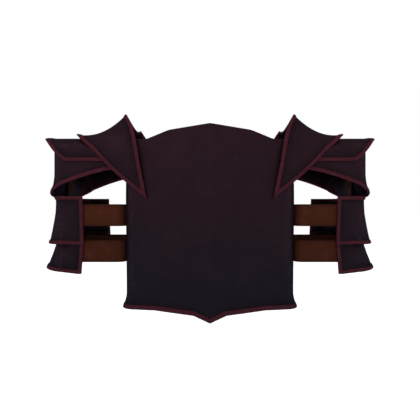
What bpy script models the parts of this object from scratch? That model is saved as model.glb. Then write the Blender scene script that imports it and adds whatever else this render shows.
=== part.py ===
"""Steel breastplate with shoulder caps, wings and arm guards, hung on leather.

Metres, +Z up, and the front faces -Y. The origin is at shoulder height, on the
mid-plane, halfway between the front and the back of the arms. Every plate is a
sheet given by a grid of points on its middle surface. A red steel binding is
folded over its edge, with a clearance between the two.
"""
import math

import bmesh
import bpy
import numpy as np

# Stock and fits
STEEL = 0.002
BINDING_WALL = 0.001
BINDING_WIDTH = 0.0073
HEM_BINDING_WIDTH = 0.009
CLEARANCE = 0.0003
LEATHER = 0.0025
SHARP_ANGLE = math.radians(35)
MERGE_DISTANCE = 1e-6

# Torso shell, sizes on the middle of the plate
CHEST_HALF_WIDTH = 0.1696
CHEST_DEPTH = 0.113
BACK_DEPTH = 0.104
KEEL_RISE = 0.008
CORNER_SETBACK = 0.006
SETBACK_POWER = 4.0
CORNER_RADIUS = 0.022
SHOULDER_Z = -0.0035
NECK_RISE = 0.0294
BACK_NECK_RISE = 0.012
HEM_Z = -0.3414
HEM_POINT_DROP = 0.0236
HEM_FLARE = 0.0065
HEM_FLARE_START = 0.35
HEM_FLARE_FORWARD = 0.6
HEM_BAND = 0.013
ARMHOLE_DROP = 0.128
ARMHOLE_POWER = 3.0

# Arm box that the cap, the guards and the bands follow, sizes on the middle of the plate
ARM_BREADTH = 0.1472
ARM_HALF_DEPTH = 0.096
ARM_CORNER_RADIUS = 0.018
INNER_FLARE = 0.2
FLARE_POWER = 2.0

# Arm guard
GUARD_SIDE_INSET = 0.0034
GUARD_FACE_WIDTH = 0.058
GUARD_OUTER_X = CHEST_HALF_WIDTH + ARM_BREADTH - GUARD_SIDE_INSET
GUARD_INNER_X = GUARD_OUTER_X - GUARD_FACE_WIDTH
GUARD_TOP_Z = -0.1158
GUARD_SPLIT_Z = -0.2115
GUARD_SPLIT_DROP = 0.0027
GUARD_LAP = 0.013
GUARD_BOTTOM_Z = -0.259
GUARD_BOTTOM_RISE = 0.0132
GUARD_EDGE_SHIFT = 0.0036
UPPER_FLARE = 0.0132
LOWER_FLARE = 0.0190
LOWER_INSET = 0.0035

# Cap's lower lame
SKIRT_CHEST_GAP = 0.012
SKIRT_OUTER_X = CHEST_HALF_WIDTH + ARM_BREADTH
SKIRT_INNER_X = CHEST_HALF_WIDTH + SKIRT_CHEST_GAP
SKIRT_TOP_FRONT_Z = -0.022
SKIRT_TOP_SIDE_Z = -0.005
SKIRT_EDGE_START_Z = -0.0615
SKIRT_EDGE_FALL = 0.0335
SKIRT_EDGE_POWER = 1.5
SKIRT_SIDE_START = 0.6
SKIRT_SIDE_POWER = 0.8
SKIRT_FLARE = 0.0075
SKIRT_OVERLAP = 0.003

# Cap's upper lame
ROOF_CHEST_GAP = 0.008
ROOF_OVERHANG = 0.0037
ROOF_INNER_X = CHEST_HALF_WIDTH + ROOF_CHEST_GAP
ROOF_OUTER_X = SKIRT_OUTER_X + ROOF_OVERHANG
ROOF_SPIKE = 0.0144
ROOF_SPIKE_POWER = 3.0
ROOF_SPIKE_ANGLE = math.radians(25)
ROOF_TOP_Z = 0.0017
ROOF_DOME = 0.0033
ROOF_CORNER_RADIUS = 0.025
ROOF_LEG_Z = -0.0468
ROOF_LEG_TURN_INSET = 0.0335
ROOF_LEG_POWER = 1.45

# Shoulder wing: its tip stands off the chest, its spike rises over the shoulder, its outer
# corner stands in front of the cap, and on the mid-plane its crest and its rest are its edges
WING_TIP_INSET = 0.0466
WING_TIP_STANDOFF = 0.003
WING_TIP_Z = -0.1222
WING_SPIKE_OUT = 0.0012
WING_SPIKE_BACK = 0.017
WING_SPIKE_Z = 0.0515
WING_CORNER_OUT = 0.0944
WING_CORNER_FORWARD = 0.008
WING_CORNER_Z = 0.0052
WING_CREST_INSET = 0.0036
WING_CREST_Z = 0.035
WING_REST_OUT = 0.0984
WING_TIP = (CHEST_HALF_WIDTH - WING_TIP_INSET, -CHEST_DEPTH - WING_TIP_STANDOFF, WING_TIP_Z)
WING_SPIKE = (CHEST_HALF_WIDTH + WING_SPIKE_OUT, WING_SPIKE_BACK - ARM_HALF_DEPTH, WING_SPIKE_Z)
WING_CORNER = (CHEST_HALF_WIDTH + WING_CORNER_OUT, -ARM_HALF_DEPTH - WING_CORNER_FORWARD, WING_CORNER_Z)
WING_CREST = (CHEST_HALF_WIDTH - WING_CREST_INSET, 0.0, WING_CREST_Z)
WING_FOLD_SAG = 0.016
WING_MID_SAG = 0.007
WING_TOP_SHARE = 0.57
WING_RISE_POWER = 1.5
WING_BOW_POWER = 2.0
WING_LIFT_POWER = 3.0

# Leather
BAND_HEIGHT = 0.0442
BAND_TOPS_Z = (-0.1323, -0.2053)
BAND_RADIUS = 0.017
SHOULDER_STRAP_WIDTH = 0.044
SHOULDER_STRAP_INSET = 0.026
SHOULDER_STRAP_END_Z = -0.060
SHOULDER_STRAP_BEND = 0.028
SHOULDER_STRAP_FALL = 0.0246
FLANK_STRAP_HALF_LENGTH = 0.045
FLANK_STRAP_WIDTH = 0.040
FLANK_STRAP_RISE = 0.037
TAB_INSET = 0.064
TAB_REACH = 0.047
TAB_HALF_WIDTH = 0.015
TAB_DROP = 0.0007
ARM_LEATHER_HALF_WIDTH = 0.018
ARM_LEATHER_TOP_Z = -0.030
ARM_LEATHER_BEND_RISE = 0.006
ARM_LEATHER_BEND_DROP = 0.0121

BINDING_HALF = STEEL / 2 + CLEARANCE + BINDING_WALL
TUCK = BINDING_WALL + CLEARANCE
ROOF_HALF_DEPTH = ARM_HALF_DEPTH + STEEL / 2 + CLEARANCE + BINDING_HALF

# Chest and back sections: share of the height from the shoulder to the hem, share of the depth
DEPTH_ROWS = {"height": (0.0, 0.34, 0.89, 1.0), "depth": (0.93, 1.0, 0.925, 0.94)}
# Top edge: share of the half width, share of the neck rise
NECK_ROWS = {"width": (0.0, 0.48, 0.74, 1.0), "rise": (1.0, 0.58, 0.0, 0.0)}
# Hem: share of the half width, share of the drop of its point
HEM_ROWS = {"width": (0.0, 0.19, 0.64, 1.0), "drop": (1.0, 0.38, 0.0, 0.0)}
# Skirt and guard sides: share of the lame's height, share of its flare
SKIRT_ROWS = {"height": (0.0, 0.64, 0.8, 1.0), "flare": (0.0, 0.0, 0.25, 1.0)}
UPPER_ROWS = {
    "height": (0.0, 0.08, 0.34, 0.56, 0.76, 0.92, 1.0),
    "flare": (0.25, 0.0, 0.06, 0.30, 0.56, 0.80, 1.0),
}
LOWER_ROWS = {"height": (0.0, 0.22, 0.52, 0.86, 1.0), "flare": (0.0, 0.04, 0.34, 0.76, 1.0)}
# Shoulder strap from chest to crown: share of its bend inward, share of its fall
STRAP_ROWS = {"inward": (0.11, 0.36, 1.0), "fall": (1.0, 0.47, 0.05)}
# Lower guard's bottom edge: share of the front face outward plus share round the corner,
# share of the bottom rise
BOTTOM_ROWS = {"across": (0.0, 0.22, 0.67, 1.0, 1.5), "drop": (1.0, 1.0, 0.74, 0.48, 0.0)}
# Wing's front face from the tip up: shares of the way to the spike and to the outer corner,
# and the share of the sag between them
WING_ROWS = {
    "inner_x": (0.0, 0.070, 0.283, 0.409, 0.585, 0.764, 1.0),
    "inner_y": (0.0, 0.007, 0.030, 0.120, 0.405, 0.700, 1.0),
    "inner_z": (0.0, 0.096, 0.385, 0.578, 0.768, 0.891, 1.0),
    "outer_x": (0.0, 0.110, 0.430, 0.622, 0.788, 0.909, 1.0),
    "outer_y": (0.0, 0.120, 0.550, 0.870, 0.930, 0.960, 1.0),
    "outer_z": (0.0, 0.092, 0.379, 0.579, 0.772, 0.886, 1.0),
    "sag": (0.0, 0.00, 0.04, 0.10, 0.25, 0.55, 1.0),
}

MATERIALS = {
    "dark_steel": ((0.021, 0.0110, 0.0160), 0.55, 0.6),
    "red_binding": ((0.041, 0.0110, 0.0165), 0.55, 0.3),
    "brown_leather": ((0.050, 0.0140, 0.0080), 0.75, 0.0),
}


def clear_scene():
    """Remove whatever the opened file holds."""
    for item in list(bpy.data.objects):
        bpy.data.objects.remove(item, do_unlink=True)


def get_material(name):
    """Return the named finish, made on its first use."""
    found = bpy.data.materials.get(name)
    if found:
        return found
    color, roughness, metallic = MATERIALS[name]
    made = bpy.data.materials.new(name)
    made.use_nodes = True
    shader = made.node_tree.nodes["Principled BSDF"]
    shader.inputs["Base Color"].default_value = (*color, 1.0)
    shader.inputs["Roughness"].default_value = roughness
    shader.inputs["Metallic"].default_value = metallic
    return made


def add_solid(name, material, points, faces):
    """Make one closed object from points and faces, with its faces turned outward."""
    mesh = bpy.data.meshes.new(name)
    work = bmesh.new()
    corners = [work.verts.new(point) for point in points]
    for face in faces:
        work.faces.new([corners[index] for index in face])
    bmesh.ops.remove_doubles(work, verts=work.verts, dist=MERGE_DISTANCE)
    bmesh.ops.recalc_face_normals(work, faces=work.faces)
    work.to_mesh(mesh)
    work.free()
    mesh.shade_smooth()
    mesh.set_sharp_from_angle(angle=SHARP_ANGLE)
    mesh.materials.append(get_material(material))
    bpy.context.collection.objects.link(bpy.data.objects.new(name, mesh))


def unit(vectors):
    """Scale vectors to length one."""
    length = np.linalg.norm(vectors, axis=-1, keepdims=True)
    return vectors / np.maximum(length, 1e-12)


class Sheet:
    """A plate's middle surface as a grid of points, with the sides that a binding covers.

    The sides are first, right, last and left, in order round the grid. The grid's
    second line along a bound side is moved to where the binding ends. A tipped grid
    has single points for its first and last rows, and is bound on its right and left.
    """

    def __init__(self, grid, bound=(), tipped=False, width=BINDING_WIDTH):
        self.grid = np.array(grid, dtype=float)
        self.tipped = tipped
        self.width = width
        self.rows, self.columns = (size - 1 for size in self.grid.shape[:2])
        self.path = self.list_places(bound)
        self.closed = tipped or len(bound) == 4
        if self.closed:
            self.path.pop()
        self.inner = {}
        self.set_binding_line(bound)
        self.splits = self.find_splits()
        self.normals = self.find_normals()

    def find_normals(self):
        """Average the normals of the cells round each point."""
        grid = self.grid
        cells = np.cross(grid[1:, 1:] - grid[:-1, :-1], grid[:-1, 1:] - grid[1:, :-1])
        total = np.zeros_like(grid)
        for rows in (slice(None, -1), slice(1, None)):
            for columns in (slice(None, -1), slice(1, None)):
                total[rows, columns] += cells
        if self.tipped:
            for row, beside in ((0, 1), (-1, -2)):
                total[row] = total[row].sum(axis=0)
                total[beside, 1:-1] = total[beside, 1:-1].sum(axis=0)
        return unit(total)

    def list_places(self, names):
        """List the grid places along the named sides, which follow one another."""
        rows, columns = self.rows, self.columns
        sides = {
            "first": [(0, j) for j in range(columns + 1)],
            "right": [(i, columns) for i in range(rows + 1)],
            "last": [(rows, j) for j in range(columns, -1, -1)],
            "left": [(i, 0) for i in range(rows, -1, -1)],
        }
        places = []
        for name in names:
            places += sides[name][1:] if places else sides[name]
        return places

    def neighbours(self, step):
        """Return the points before and after a place on the path, or None past its ends."""
        count = len(self.path)
        before = self.path[step - 1] if step or self.closed else None
        after = self.path[(step + 1) % count] if step < count - 1 or self.closed else None
        return before, after

    def set_binding_line(self, bound):
        """Move the grid's second lines to the binding's width, square corners of it first."""
        beside_corner = {}
        for step, (i, j) in enumerate(self.path):
            tip = self.tipped and i in (0, self.rows)
            corner = not self.tipped and i in (0, self.rows) and j in (0, self.columns)
            before, after = self.neighbours(step)
            if not tip and (not corner or before is None or after is None):
                continue
            here = self.grid[i, j].copy()
            back, ahead = unit(self.grid[before] - here), unit(self.grid[after] - here)
            reach = self.width / np.linalg.norm(np.cross(back, ahead))
            row = 1 if i == 0 else self.rows - 1
            column = 1 if j == 0 else self.columns - 1
            self.grid[before] = here + back * reach
            self.grid[after] = here + ahead * reach
            self.grid[row, slice(1, -1) if tip else column] = here + (back + ahead) * reach
            for place in (before, (i, j), after):
                beside_corner[place] = (row, column)
        for step, place in enumerate(self.path):
            if place in beside_corner:
                self.inner[place] = beside_corner[place]
                continue
            i, j = place
            on_row = i in (0, self.rows) and ("first" if i == 0 else "last") in bound
            if on_row:
                inner = (1 if i == 0 else self.rows - 1, j)
            else:
                inner = (i, 1 if j == 0 else self.columns - 1)
            before, after = self.neighbours(step)
            ends = [self.grid[end] if end else self.grid[place] for end in (before, after)]
            way = unit(self.grid[inner] - self.grid[place])
            slant = np.linalg.norm(np.cross(way, unit(ends[1] - ends[0])))
            self.grid[inner] = self.grid[place] + way * self.width / slant
            self.inner[place] = inner

    def forward(self, place):
        """Say whether the faces along an edge from this place are divided forward along it."""
        return self.grid[place][1] < 0

    def find_splits(self):
        """Return the two places that divide each cell under the binding into triangles."""
        splits = {}
        for step, place in enumerate(self.path):
            after = self.neighbours(step)[1]
            if after is None:
                continue
            if self.forward(place):
                inner = self.inner[after]
            else:
                place, inner = after, self.inner[place]
            if abs(place[0] - inner[0]) == 1 and abs(place[1] - inner[1]) == 1:
                splits[min(place[0], inner[0]), min(place[1], inner[1])] = (place, inner)
        return splits

    def plate_points(self):
        """Return the grid with its bound edges drawn back into the binding."""
        points = self.grid.copy()
        for (i, j), inner in self.inner.items():
            share = TUCK / self.width
            points[i, j] = self.grid[i, j] * (1 - share) + self.grid[inner] * share
            if self.tipped and i in (0, self.rows):
                points[i, :] = points[i, j]
        return points


def thick_faces(sheet):
    """Return the faces of a closed plate whose two layers follow the sheet's grid."""
    rows, columns, splits = sheet.rows + 1, sheet.columns + 1, sheet.splits

    def at(i, j, level):
        return (level * rows + i) * columns + j

    faces = []
    for i in range(sheet.rows):
        for j in range(sheet.columns):
            cell = [(i, j), (i + 1, j), (i + 1, j + 1), (i, j + 1)]
            halves = [cell]
            if (i, j) in splits:
                first = cell.index(splits[i, j][0])
                turned = cell[first:] + cell[:first]
                halves = [turned[:3], turned[2:] + turned[:1]]
            for half in halves:
                faces.append([at(*place, 0) for place in half])
                faces.append([at(*place, 1) for place in half[::-1]])
    edge = sheet.list_places(("first", "right", "last", "left"))
    for place, follow in zip(edge, edge[1:]):
        rim = [at(*place, 1), at(*place, 0), at(*follow, 0), at(*follow, 1)]
        if sheet.forward(place):
            faces += [rim[:3], rim[2:] + rim[:1]]
        else:
            faces += [rim[1:], rim[:2] + rim[3:]]
    return faces


def clean_faces(points, faces):
    """Leave out repeated corners and faces that a sheet's tip folds to nothing."""
    keys = {}
    first = [keys.setdefault(tuple(np.round(point, 7)), index) for index, point in enumerate(points)]
    kept = []
    for face in faces:
        corners = []
        for index in face:
            if first[index] not in corners:
                corners.append(first[index])
        if len(corners) > 2:
            kept.append(corners)
    used = sorted({index for face in kept for index in face})
    place = {index: number for number, index in enumerate(used)}
    return points[used], [[place[index] for index in face] for face in kept]


def make_plate(name, material, sheet, thickness, side=1):
    """Build a plate of even thickness round the sheet, mirrored in x where side is -1."""
    middle = sheet.plate_points()
    half = sheet.normals * thickness / 2
    points = np.concatenate([(middle + half).reshape(-1, 3), (middle - half).reshape(-1, 3)])
    points, faces = clean_faces(points * (side, 1, 1), thick_faces(sheet))
    add_solid(name, material, points, faces)


def make_binding(name, sheet, side=1):
    """Fold a channel over the sheet's bound edges, clear of the plate inside it."""
    slot = STEEL / 2 + CLEARANCE
    wall = BINDING_WALL / sheet.width
    profile = (
        (0.0, -BINDING_HALF),
        (1.0, -BINDING_HALF),
        (1.0, -slot),
        (wall, -slot),
        (wall, slot),
        (1.0, slot),
        (1.0, BINDING_HALF),
        (0.0, BINDING_HALF),
    )
    points = []
    for place in sheet.path:
        inner = sheet.inner[place]
        for into, out in profile:
            normal = sheet.normals[inner if into == 1.0 else place]
            points.append(sheet.grid[place] * (1 - into) + sheet.grid[inner] * into + normal * out)
    count, size = len(sheet.path), len(profile)
    faces = []
    for step in range(count if sheet.closed else count - 1):
        here, follow = step * size, (step + 1) % count * size
        for k in range(size):
            beside = (k + 1) % size
            quad = (here + k, here + beside, follow + beside, follow + k)
            if (profile[k] < profile[beside]) == sheet.forward(sheet.path[step]):
                faces += [quad[:3], quad[2:] + quad[:1]]
            else:
                faces += [quad[1:], quad[:2] + quad[3:]]
    if not sheet.closed:
        for start in (0, (count - 1) * size):
            faces.append((start, start + 1, start + 2, start + 3))
            faces.append((start, start + 3, start + 4, start + 7))
            faces.append((start + 4, start + 5, start + 6, start + 7))
    points, faces = clean_faces(np.array(points) * (side, 1, 1), faces)
    add_solid(name, "red_binding", points, faces)


def torso_grid(depth, keel, neck_rise, point_drop, levels, facing):
    """Return the grid of a half shell, facing -1 for the front and 1 for the back."""
    levels = np.array(levels)
    across = np.array((0.0, 0.22, 0.38, 0.55, 0.736, 0.85, 1.0))
    turns = np.radians((30.0, 60.0, 90.0))
    flank = np.array((0.02, 0.08, 0.24, 0.55, 1.0))
    columns = len(across) + len(turns) + len(flank)
    drop = np.zeros(columns)
    drop[-len(flank):] = (1 - (1 - flank) ** ARMHOLE_POWER) ** (1 / ARMHOLE_POWER)
    flat = CHEST_HALF_WIDTH - CORNER_RADIUS
    reach = np.full(columns, CHEST_HALF_WIDTH)
    reach[: len(across)] = across * flat
    reach[len(across):-len(flank)] = flat + CORNER_RADIUS * np.sin(turns)
    share = reach / CHEST_HALF_WIDTH
    top = SHOULDER_Z + neck_rise * np.interp(share, NECK_ROWS["width"], NECK_ROWS["rise"])
    top = top - ARMHOLE_DROP * drop
    bottom = HEM_Z - point_drop * np.interp(share, HEM_ROWS["width"], HEM_ROWS["drop"])
    height = np.empty((len(levels) + 1, columns))
    height[:-1] = top + levels[:, None] * (bottom + HEM_BAND - top)
    height[-1] = bottom
    flare = np.zeros((len(levels) + 1, 1))
    flare[-2:, 0] = (HEM_FLARE_START * HEM_FLARE, HEM_FLARE)
    depths = depth * np.interp(height / HEM_Z, DEPTH_ROWS["height"], DEPTH_ROWS["depth"])
    x = np.broadcast_to(reach, height.shape).copy()
    x[:, len(across):] += flare * (share[len(across):])
    y = np.empty_like(height)
    face = slice(0, len(across))
    y[:, face] = depths[:, face] + keel * (1 - across) - CORNER_SETBACK * across ** SETBACK_POWER
    center = depths - CORNER_SETBACK - CORNER_RADIUS
    arc = slice(len(across), len(across) + len(turns))
    y[:, arc] = center[:, arc] + CORNER_RADIUS * np.cos(turns)
    side = slice(len(across) + len(turns), columns)
    seam = CLEARANCE / 2
    y[:, side] = seam + (center[:, side] - seam) * (1 - flank)
    y[:, : arc.stop] += flare * HEM_FLARE_FORWARD
    half = np.stack([x, facing * y, height], axis=-1)
    return np.concatenate([half[:, :0:-1] * (-1, 1, 1), half], axis=1)


def arm_columns(inner_x, outer_x, half_depth):
    """Return the plan of the arm box from its front inner edge round to its back one.

    The columns are x, y, the way outward in x and y, how far along the front face,
    and how far along the outer side towards the middle.
    """
    radius = ARM_CORNER_RADIUS
    rows = []
    for share in (0.0, 0.18, 0.55, 1.0):
        rows.append((inner_x + (outer_x - radius - inner_x) * share, -half_depth, 0, -1, share, 0.0))
    for turn in np.radians((45.0, 90.0)):
        x = outer_x - radius + radius * math.sin(turn)
        y = -half_depth + radius - radius * math.cos(turn)
        rows.append((x, y, math.sin(turn), -math.cos(turn), 1.0, 0.5 * turn / (math.pi / 2)))
    for share in (0.4, 1.0):
        y = -(half_depth - radius) * (1 - share)
        rows.append((outer_x, y, 1.0, 0.0, 1.0, 0.5 + 0.5 * share))
    front = np.array(rows)
    back = front[-2::-1] * (1, -1, 1, -1, 1, 1)
    return np.concatenate([front, back])


def arm_grid(plan, top, bottom, rows, flare, edge_shift=0.0):
    """Hang a wall on the plan: rows of share down the wall, offset outward by the flare."""
    x, y, out_x, out_y, across, _ = plan.T
    share = np.array(rows["height"])[:, None]
    height = top + share * (bottom - top)
    reach = INNER_FLARE + (1 - INNER_FLARE) * across ** FLARE_POWER
    offset = np.array(rows["flare"])[:, None] * flare * reach
    shift = edge_shift * share * (1 - across)
    height = np.broadcast_to(height, offset.shape)
    return np.stack([x + out_x * offset + shift, y + out_y * offset, height], axis=-1)


def leather_wall(points, low, high, axis):
    """Return the grid of a strip that runs along points and spans low to high on an axis."""
    strip = np.stack([points, points], axis=1)
    strip[:, 0, axis] = low
    strip[:, 1, axis] = high
    return strip


def build_torso():
    """Build the front and back shells and their hem bindings."""
    front_levels = (0.0, 0.10, 0.22, 0.36, 0.52, 0.68, 0.84, 1.0)
    back_levels = (0.0, 0.20, 0.46, 0.80, 1.0)
    for name, depth, keel, neck, drop, levels, facing in (
        ("breastplate", CHEST_DEPTH, KEEL_RISE, NECK_RISE, HEM_POINT_DROP, front_levels, -1),
        ("backplate", BACK_DEPTH, 0.0, BACK_NECK_RISE, 0.0, back_levels, 1),
    ):
        grid = torso_grid(depth, keel, neck, drop, levels, facing)
        sheet = Sheet(grid, ("last",), width=HEM_BINDING_WIDTH)
        make_plate(name, "dark_steel", sheet, STEEL)
        make_binding(f"{name}_border", sheet)


def build_guards(label, side):
    """Build the two lames of an arm guard and their bindings."""
    plan = arm_columns(GUARD_INNER_X, GUARD_OUTER_X, ARM_HALF_DEPTH)
    split = GUARD_SPLIT_Z - GUARD_SPLIT_DROP * (1 - plan[:, 4])
    upper = arm_grid(plan, GUARD_TOP_Z, split, UPPER_ROWS, UPPER_FLARE, -GUARD_EDGE_SHIFT)
    sheet = Sheet(upper, ("first", "right", "last", "left"))
    make_plate(f"guard_upper_{label}", "dark_steel", sheet, STEEL, side)
    make_binding(f"guard_upper_border_{label}", sheet, side)
    plan = arm_columns(GUARD_INNER_X - GUARD_EDGE_SHIFT / 2, GUARD_OUTER_X, ARM_HALF_DEPTH - LOWER_INSET)
    drop = np.interp(plan[:, 4] + plan[:, 5], BOTTOM_ROWS["across"], BOTTOM_ROWS["drop"])
    bottom = GUARD_BOTTOM_Z - GUARD_BOTTOM_RISE * drop
    lower = arm_grid(
        plan, GUARD_SPLIT_Z + GUARD_LAP, bottom, LOWER_ROWS, LOWER_FLARE, GUARD_EDGE_SHIFT
    )
    sheet = Sheet(lower, ("right", "last", "left"))
    make_plate(f"guard_lower_{label}", "dark_steel", sheet, STEEL, side)
    make_binding(f"guard_lower_border_{label}", sheet, side)


def build_skirt(label, side):
    """Build the cap's lower lame, whose edge falls outward and laps over the guard's top."""
    plan = arm_columns(SKIRT_INNER_X, SKIRT_OUTER_X, ARM_HALF_DEPTH)
    across, around = plan[:, 4], plan[:, 5]
    corner_z = SKIRT_EDGE_START_Z - SKIRT_EDGE_FALL
    low = GUARD_TOP_Z - SKIRT_OVERLAP
    turn = np.clip(around / SKIRT_SIDE_START, 0.0, 1.0)
    bottom = SKIRT_EDGE_START_Z - SKIRT_EDGE_FALL * across ** SKIRT_EDGE_POWER
    bottom = bottom + (low - corner_z) * turn ** SKIRT_SIDE_POWER
    top = SKIRT_TOP_FRONT_Z + (SKIRT_TOP_SIDE_Z - SKIRT_TOP_FRONT_Z) * turn
    sheet = Sheet(arm_grid(plan, top, bottom, SKIRT_ROWS, SKIRT_FLARE), ("last",))
    make_plate(f"cap_lower_{label}", "dark_steel", sheet, STEEL, side)
    make_binding(f"cap_lower_border_{label}", sheet, side)


def roof_point(length):
    """Return y and z on the roof's arch at a length from its middle: dome, corner, leg."""
    flat = ROOF_HALF_DEPTH - ROOF_CORNER_RADIUS
    turn = np.clip((np.abs(length) - flat) / ROOF_CORNER_RADIUS, 0.0, math.pi / 2)
    leg = np.maximum(np.abs(length) - flat - ROOF_CORNER_RADIUS * math.pi / 2, 0.0)
    top = np.minimum(np.abs(length), flat)
    y = top + ROOF_CORNER_RADIUS * np.sin(turn)
    z = ROOF_TOP_Z + ROOF_DOME * (1 - (top / flat) ** 2)
    z = z - ROOF_CORNER_RADIUS * (1 - np.cos(turn)) - leg
    return np.sign(length) * y, z


def build_roof(label, side):
    """Build the cap's upper lame: an arch whose legs shorten to a spike at each outer corner."""
    flat = ROOF_HALF_DEPTH - ROOF_CORNER_RADIUS
    corner = flat + ROOF_CORNER_RADIUS * math.pi / 2
    full = corner + (ROOF_TOP_Z - ROOF_CORNER_RADIUS - ROOF_LEG_Z)
    short = flat + ROOF_CORNER_RADIUS * ROOF_SPIKE_ANGLE
    turn_x = ROOF_OUTER_X - ROOF_LEG_TURN_INSET
    turn_share = (turn_x - ROOF_INNER_X) / (ROOF_OUTER_X + ROOF_SPIKE - ROOF_INNER_X)
    shares = np.array([0.0, turn_share * 0.34, turn_share * 0.67, turn_share])
    past_turn = np.array((0.28, 0.50, 0.66, 0.78, 0.88, 1.0))
    shares = np.append(shares, turn_share + (1 - turn_share) * past_turn)
    past = np.clip((shares - turn_share) / (1 - turn_share), 0.0, 1.0)
    reach = full - (full - short) * past ** ROOF_LEG_POWER
    spread = np.array((0.0, 0.06, 0.16, 0.24, 0.32, 0.40, 0.6, 1.0)) - 1.0
    spread = np.concatenate([spread, -spread[-2::-1]])
    along = reach[:, None] * spread
    outer = ROOF_OUTER_X + ROOF_SPIKE * np.abs(spread) ** ROOF_SPIKE_POWER
    x = ROOF_INNER_X + shares[:, None] * (outer - ROOF_INNER_X)
    y, z = roof_point(along)
    sheet = Sheet(np.stack([x, y, z], axis=-1), ("right", "last", "left"))
    make_plate(f"cap_upper_{label}", "dark_steel", sheet, STEEL, side)
    make_binding(f"cap_upper_border_{label}", sheet, side)


def wing_grid():
    """Return the wing's grid: a folded strip from its front tip over the shoulder to its back tip."""
    tip, spike, corner = (np.array(place) for place in (WING_TIP, WING_SPIKE, WING_CORNER))
    inner = np.stack([WING_ROWS[f"inner_{axis}"] for axis in "xyz"], axis=-1)
    outer = np.stack([WING_ROWS[f"outer_{axis}"] for axis in "xyz"], axis=-1)
    inner = tip + inner * (spike - tip)
    outer = tip + outer * (corner - tip)
    sag = WING_FOLD_SAG * np.array(WING_ROWS["sag"])
    rest_z = roof_point(np.array(0.0))[1] + STEEL / 2 + CLEARANCE + BINDING_HALF
    crest = np.array(WING_CREST)
    rest = np.array((CHEST_HALF_WIDTH + WING_REST_OUT, 0.0, rest_z))
    for share in (WING_TOP_SHARE, 0.0):
        rise, bow, lift = (share ** power for power in (WING_RISE_POWER, WING_BOW_POWER, WING_LIFT_POWER))
        inner = np.vstack([inner, crest + (spike - crest) * (rise, share, rise)])
        outer = np.vstack([outer, rest + (corner - rest) * (bow, share, lift)])
        sag = np.append(sag, WING_MID_SAG + (WING_FOLD_SAG - WING_MID_SAG) * rise)
    across = np.array((0.0, 0.1, 0.3, 0.5, 0.7, 0.9, 1.0))[:, None]
    front = inner[:, None] + across * (outer - inner)[:, None]
    front[:, :, 2] -= 4 * sag[:, None] * (across * (1 - across))[:, 0]
    return np.concatenate([front, front[-2::-1] * (1, -1, 1)])


def build_wing(label, side):
    """Build the wing that stands over the shoulder, and its binding."""
    sheet = Sheet(wing_grid(), ("right", "left"), tipped=True)
    make_plate(f"wing_{label}", "dark_steel", sheet, STEEL, side)
    make_binding(f"wing_border_{label}", sheet, side)


def make_band(name, outer_x, half_depth, top_z, side):
    """Build a closed leather band round the arm, against the flank and inside the guard."""
    inner_x = CHEST_HALF_WIDTH + STEEL / 2 + CLEARANCE + LEATHER / 2
    radius = BAND_RADIUS
    plan = []
    for center_x, center_y, start in (
        (outer_x - radius, half_depth - radius, 0),
        (inner_x + radius, half_depth - radius, 90),
        (inner_x + radius, radius - half_depth, 180),
        (outer_x - radius, radius - half_depth, 270),
    ):
        for turn in np.radians(start + np.array((0.0, 30.0, 60.0, 90.0))):
            plan.append((center_x, center_y, math.cos(turn), math.sin(turn)))
    plan = np.array(plan)
    rings = []
    for reach, height in (
        (radius + LEATHER / 2, top_z),
        (radius + LEATHER / 2, top_z - BAND_HEIGHT),
        (radius - LEATHER / 2, top_z - BAND_HEIGHT),
        (radius - LEATHER / 2, top_z),
    ):
        ring = plan[:, :2] + plan[:, 2:] * reach
        rings.append(np.column_stack([ring, np.full(len(ring), height)]))
    points = np.concatenate(rings)
    count = len(plan)
    faces = []
    for ring in range(4):
        for k in range(count):
            this, other, follow = ring * count, (ring + 1) % 4 * count, (k + 1) % count
            faces.append((this + k, this + follow, other + follow, other + k))
    add_solid(name, "brown_leather", points * (side, 1, 1), faces)


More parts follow.
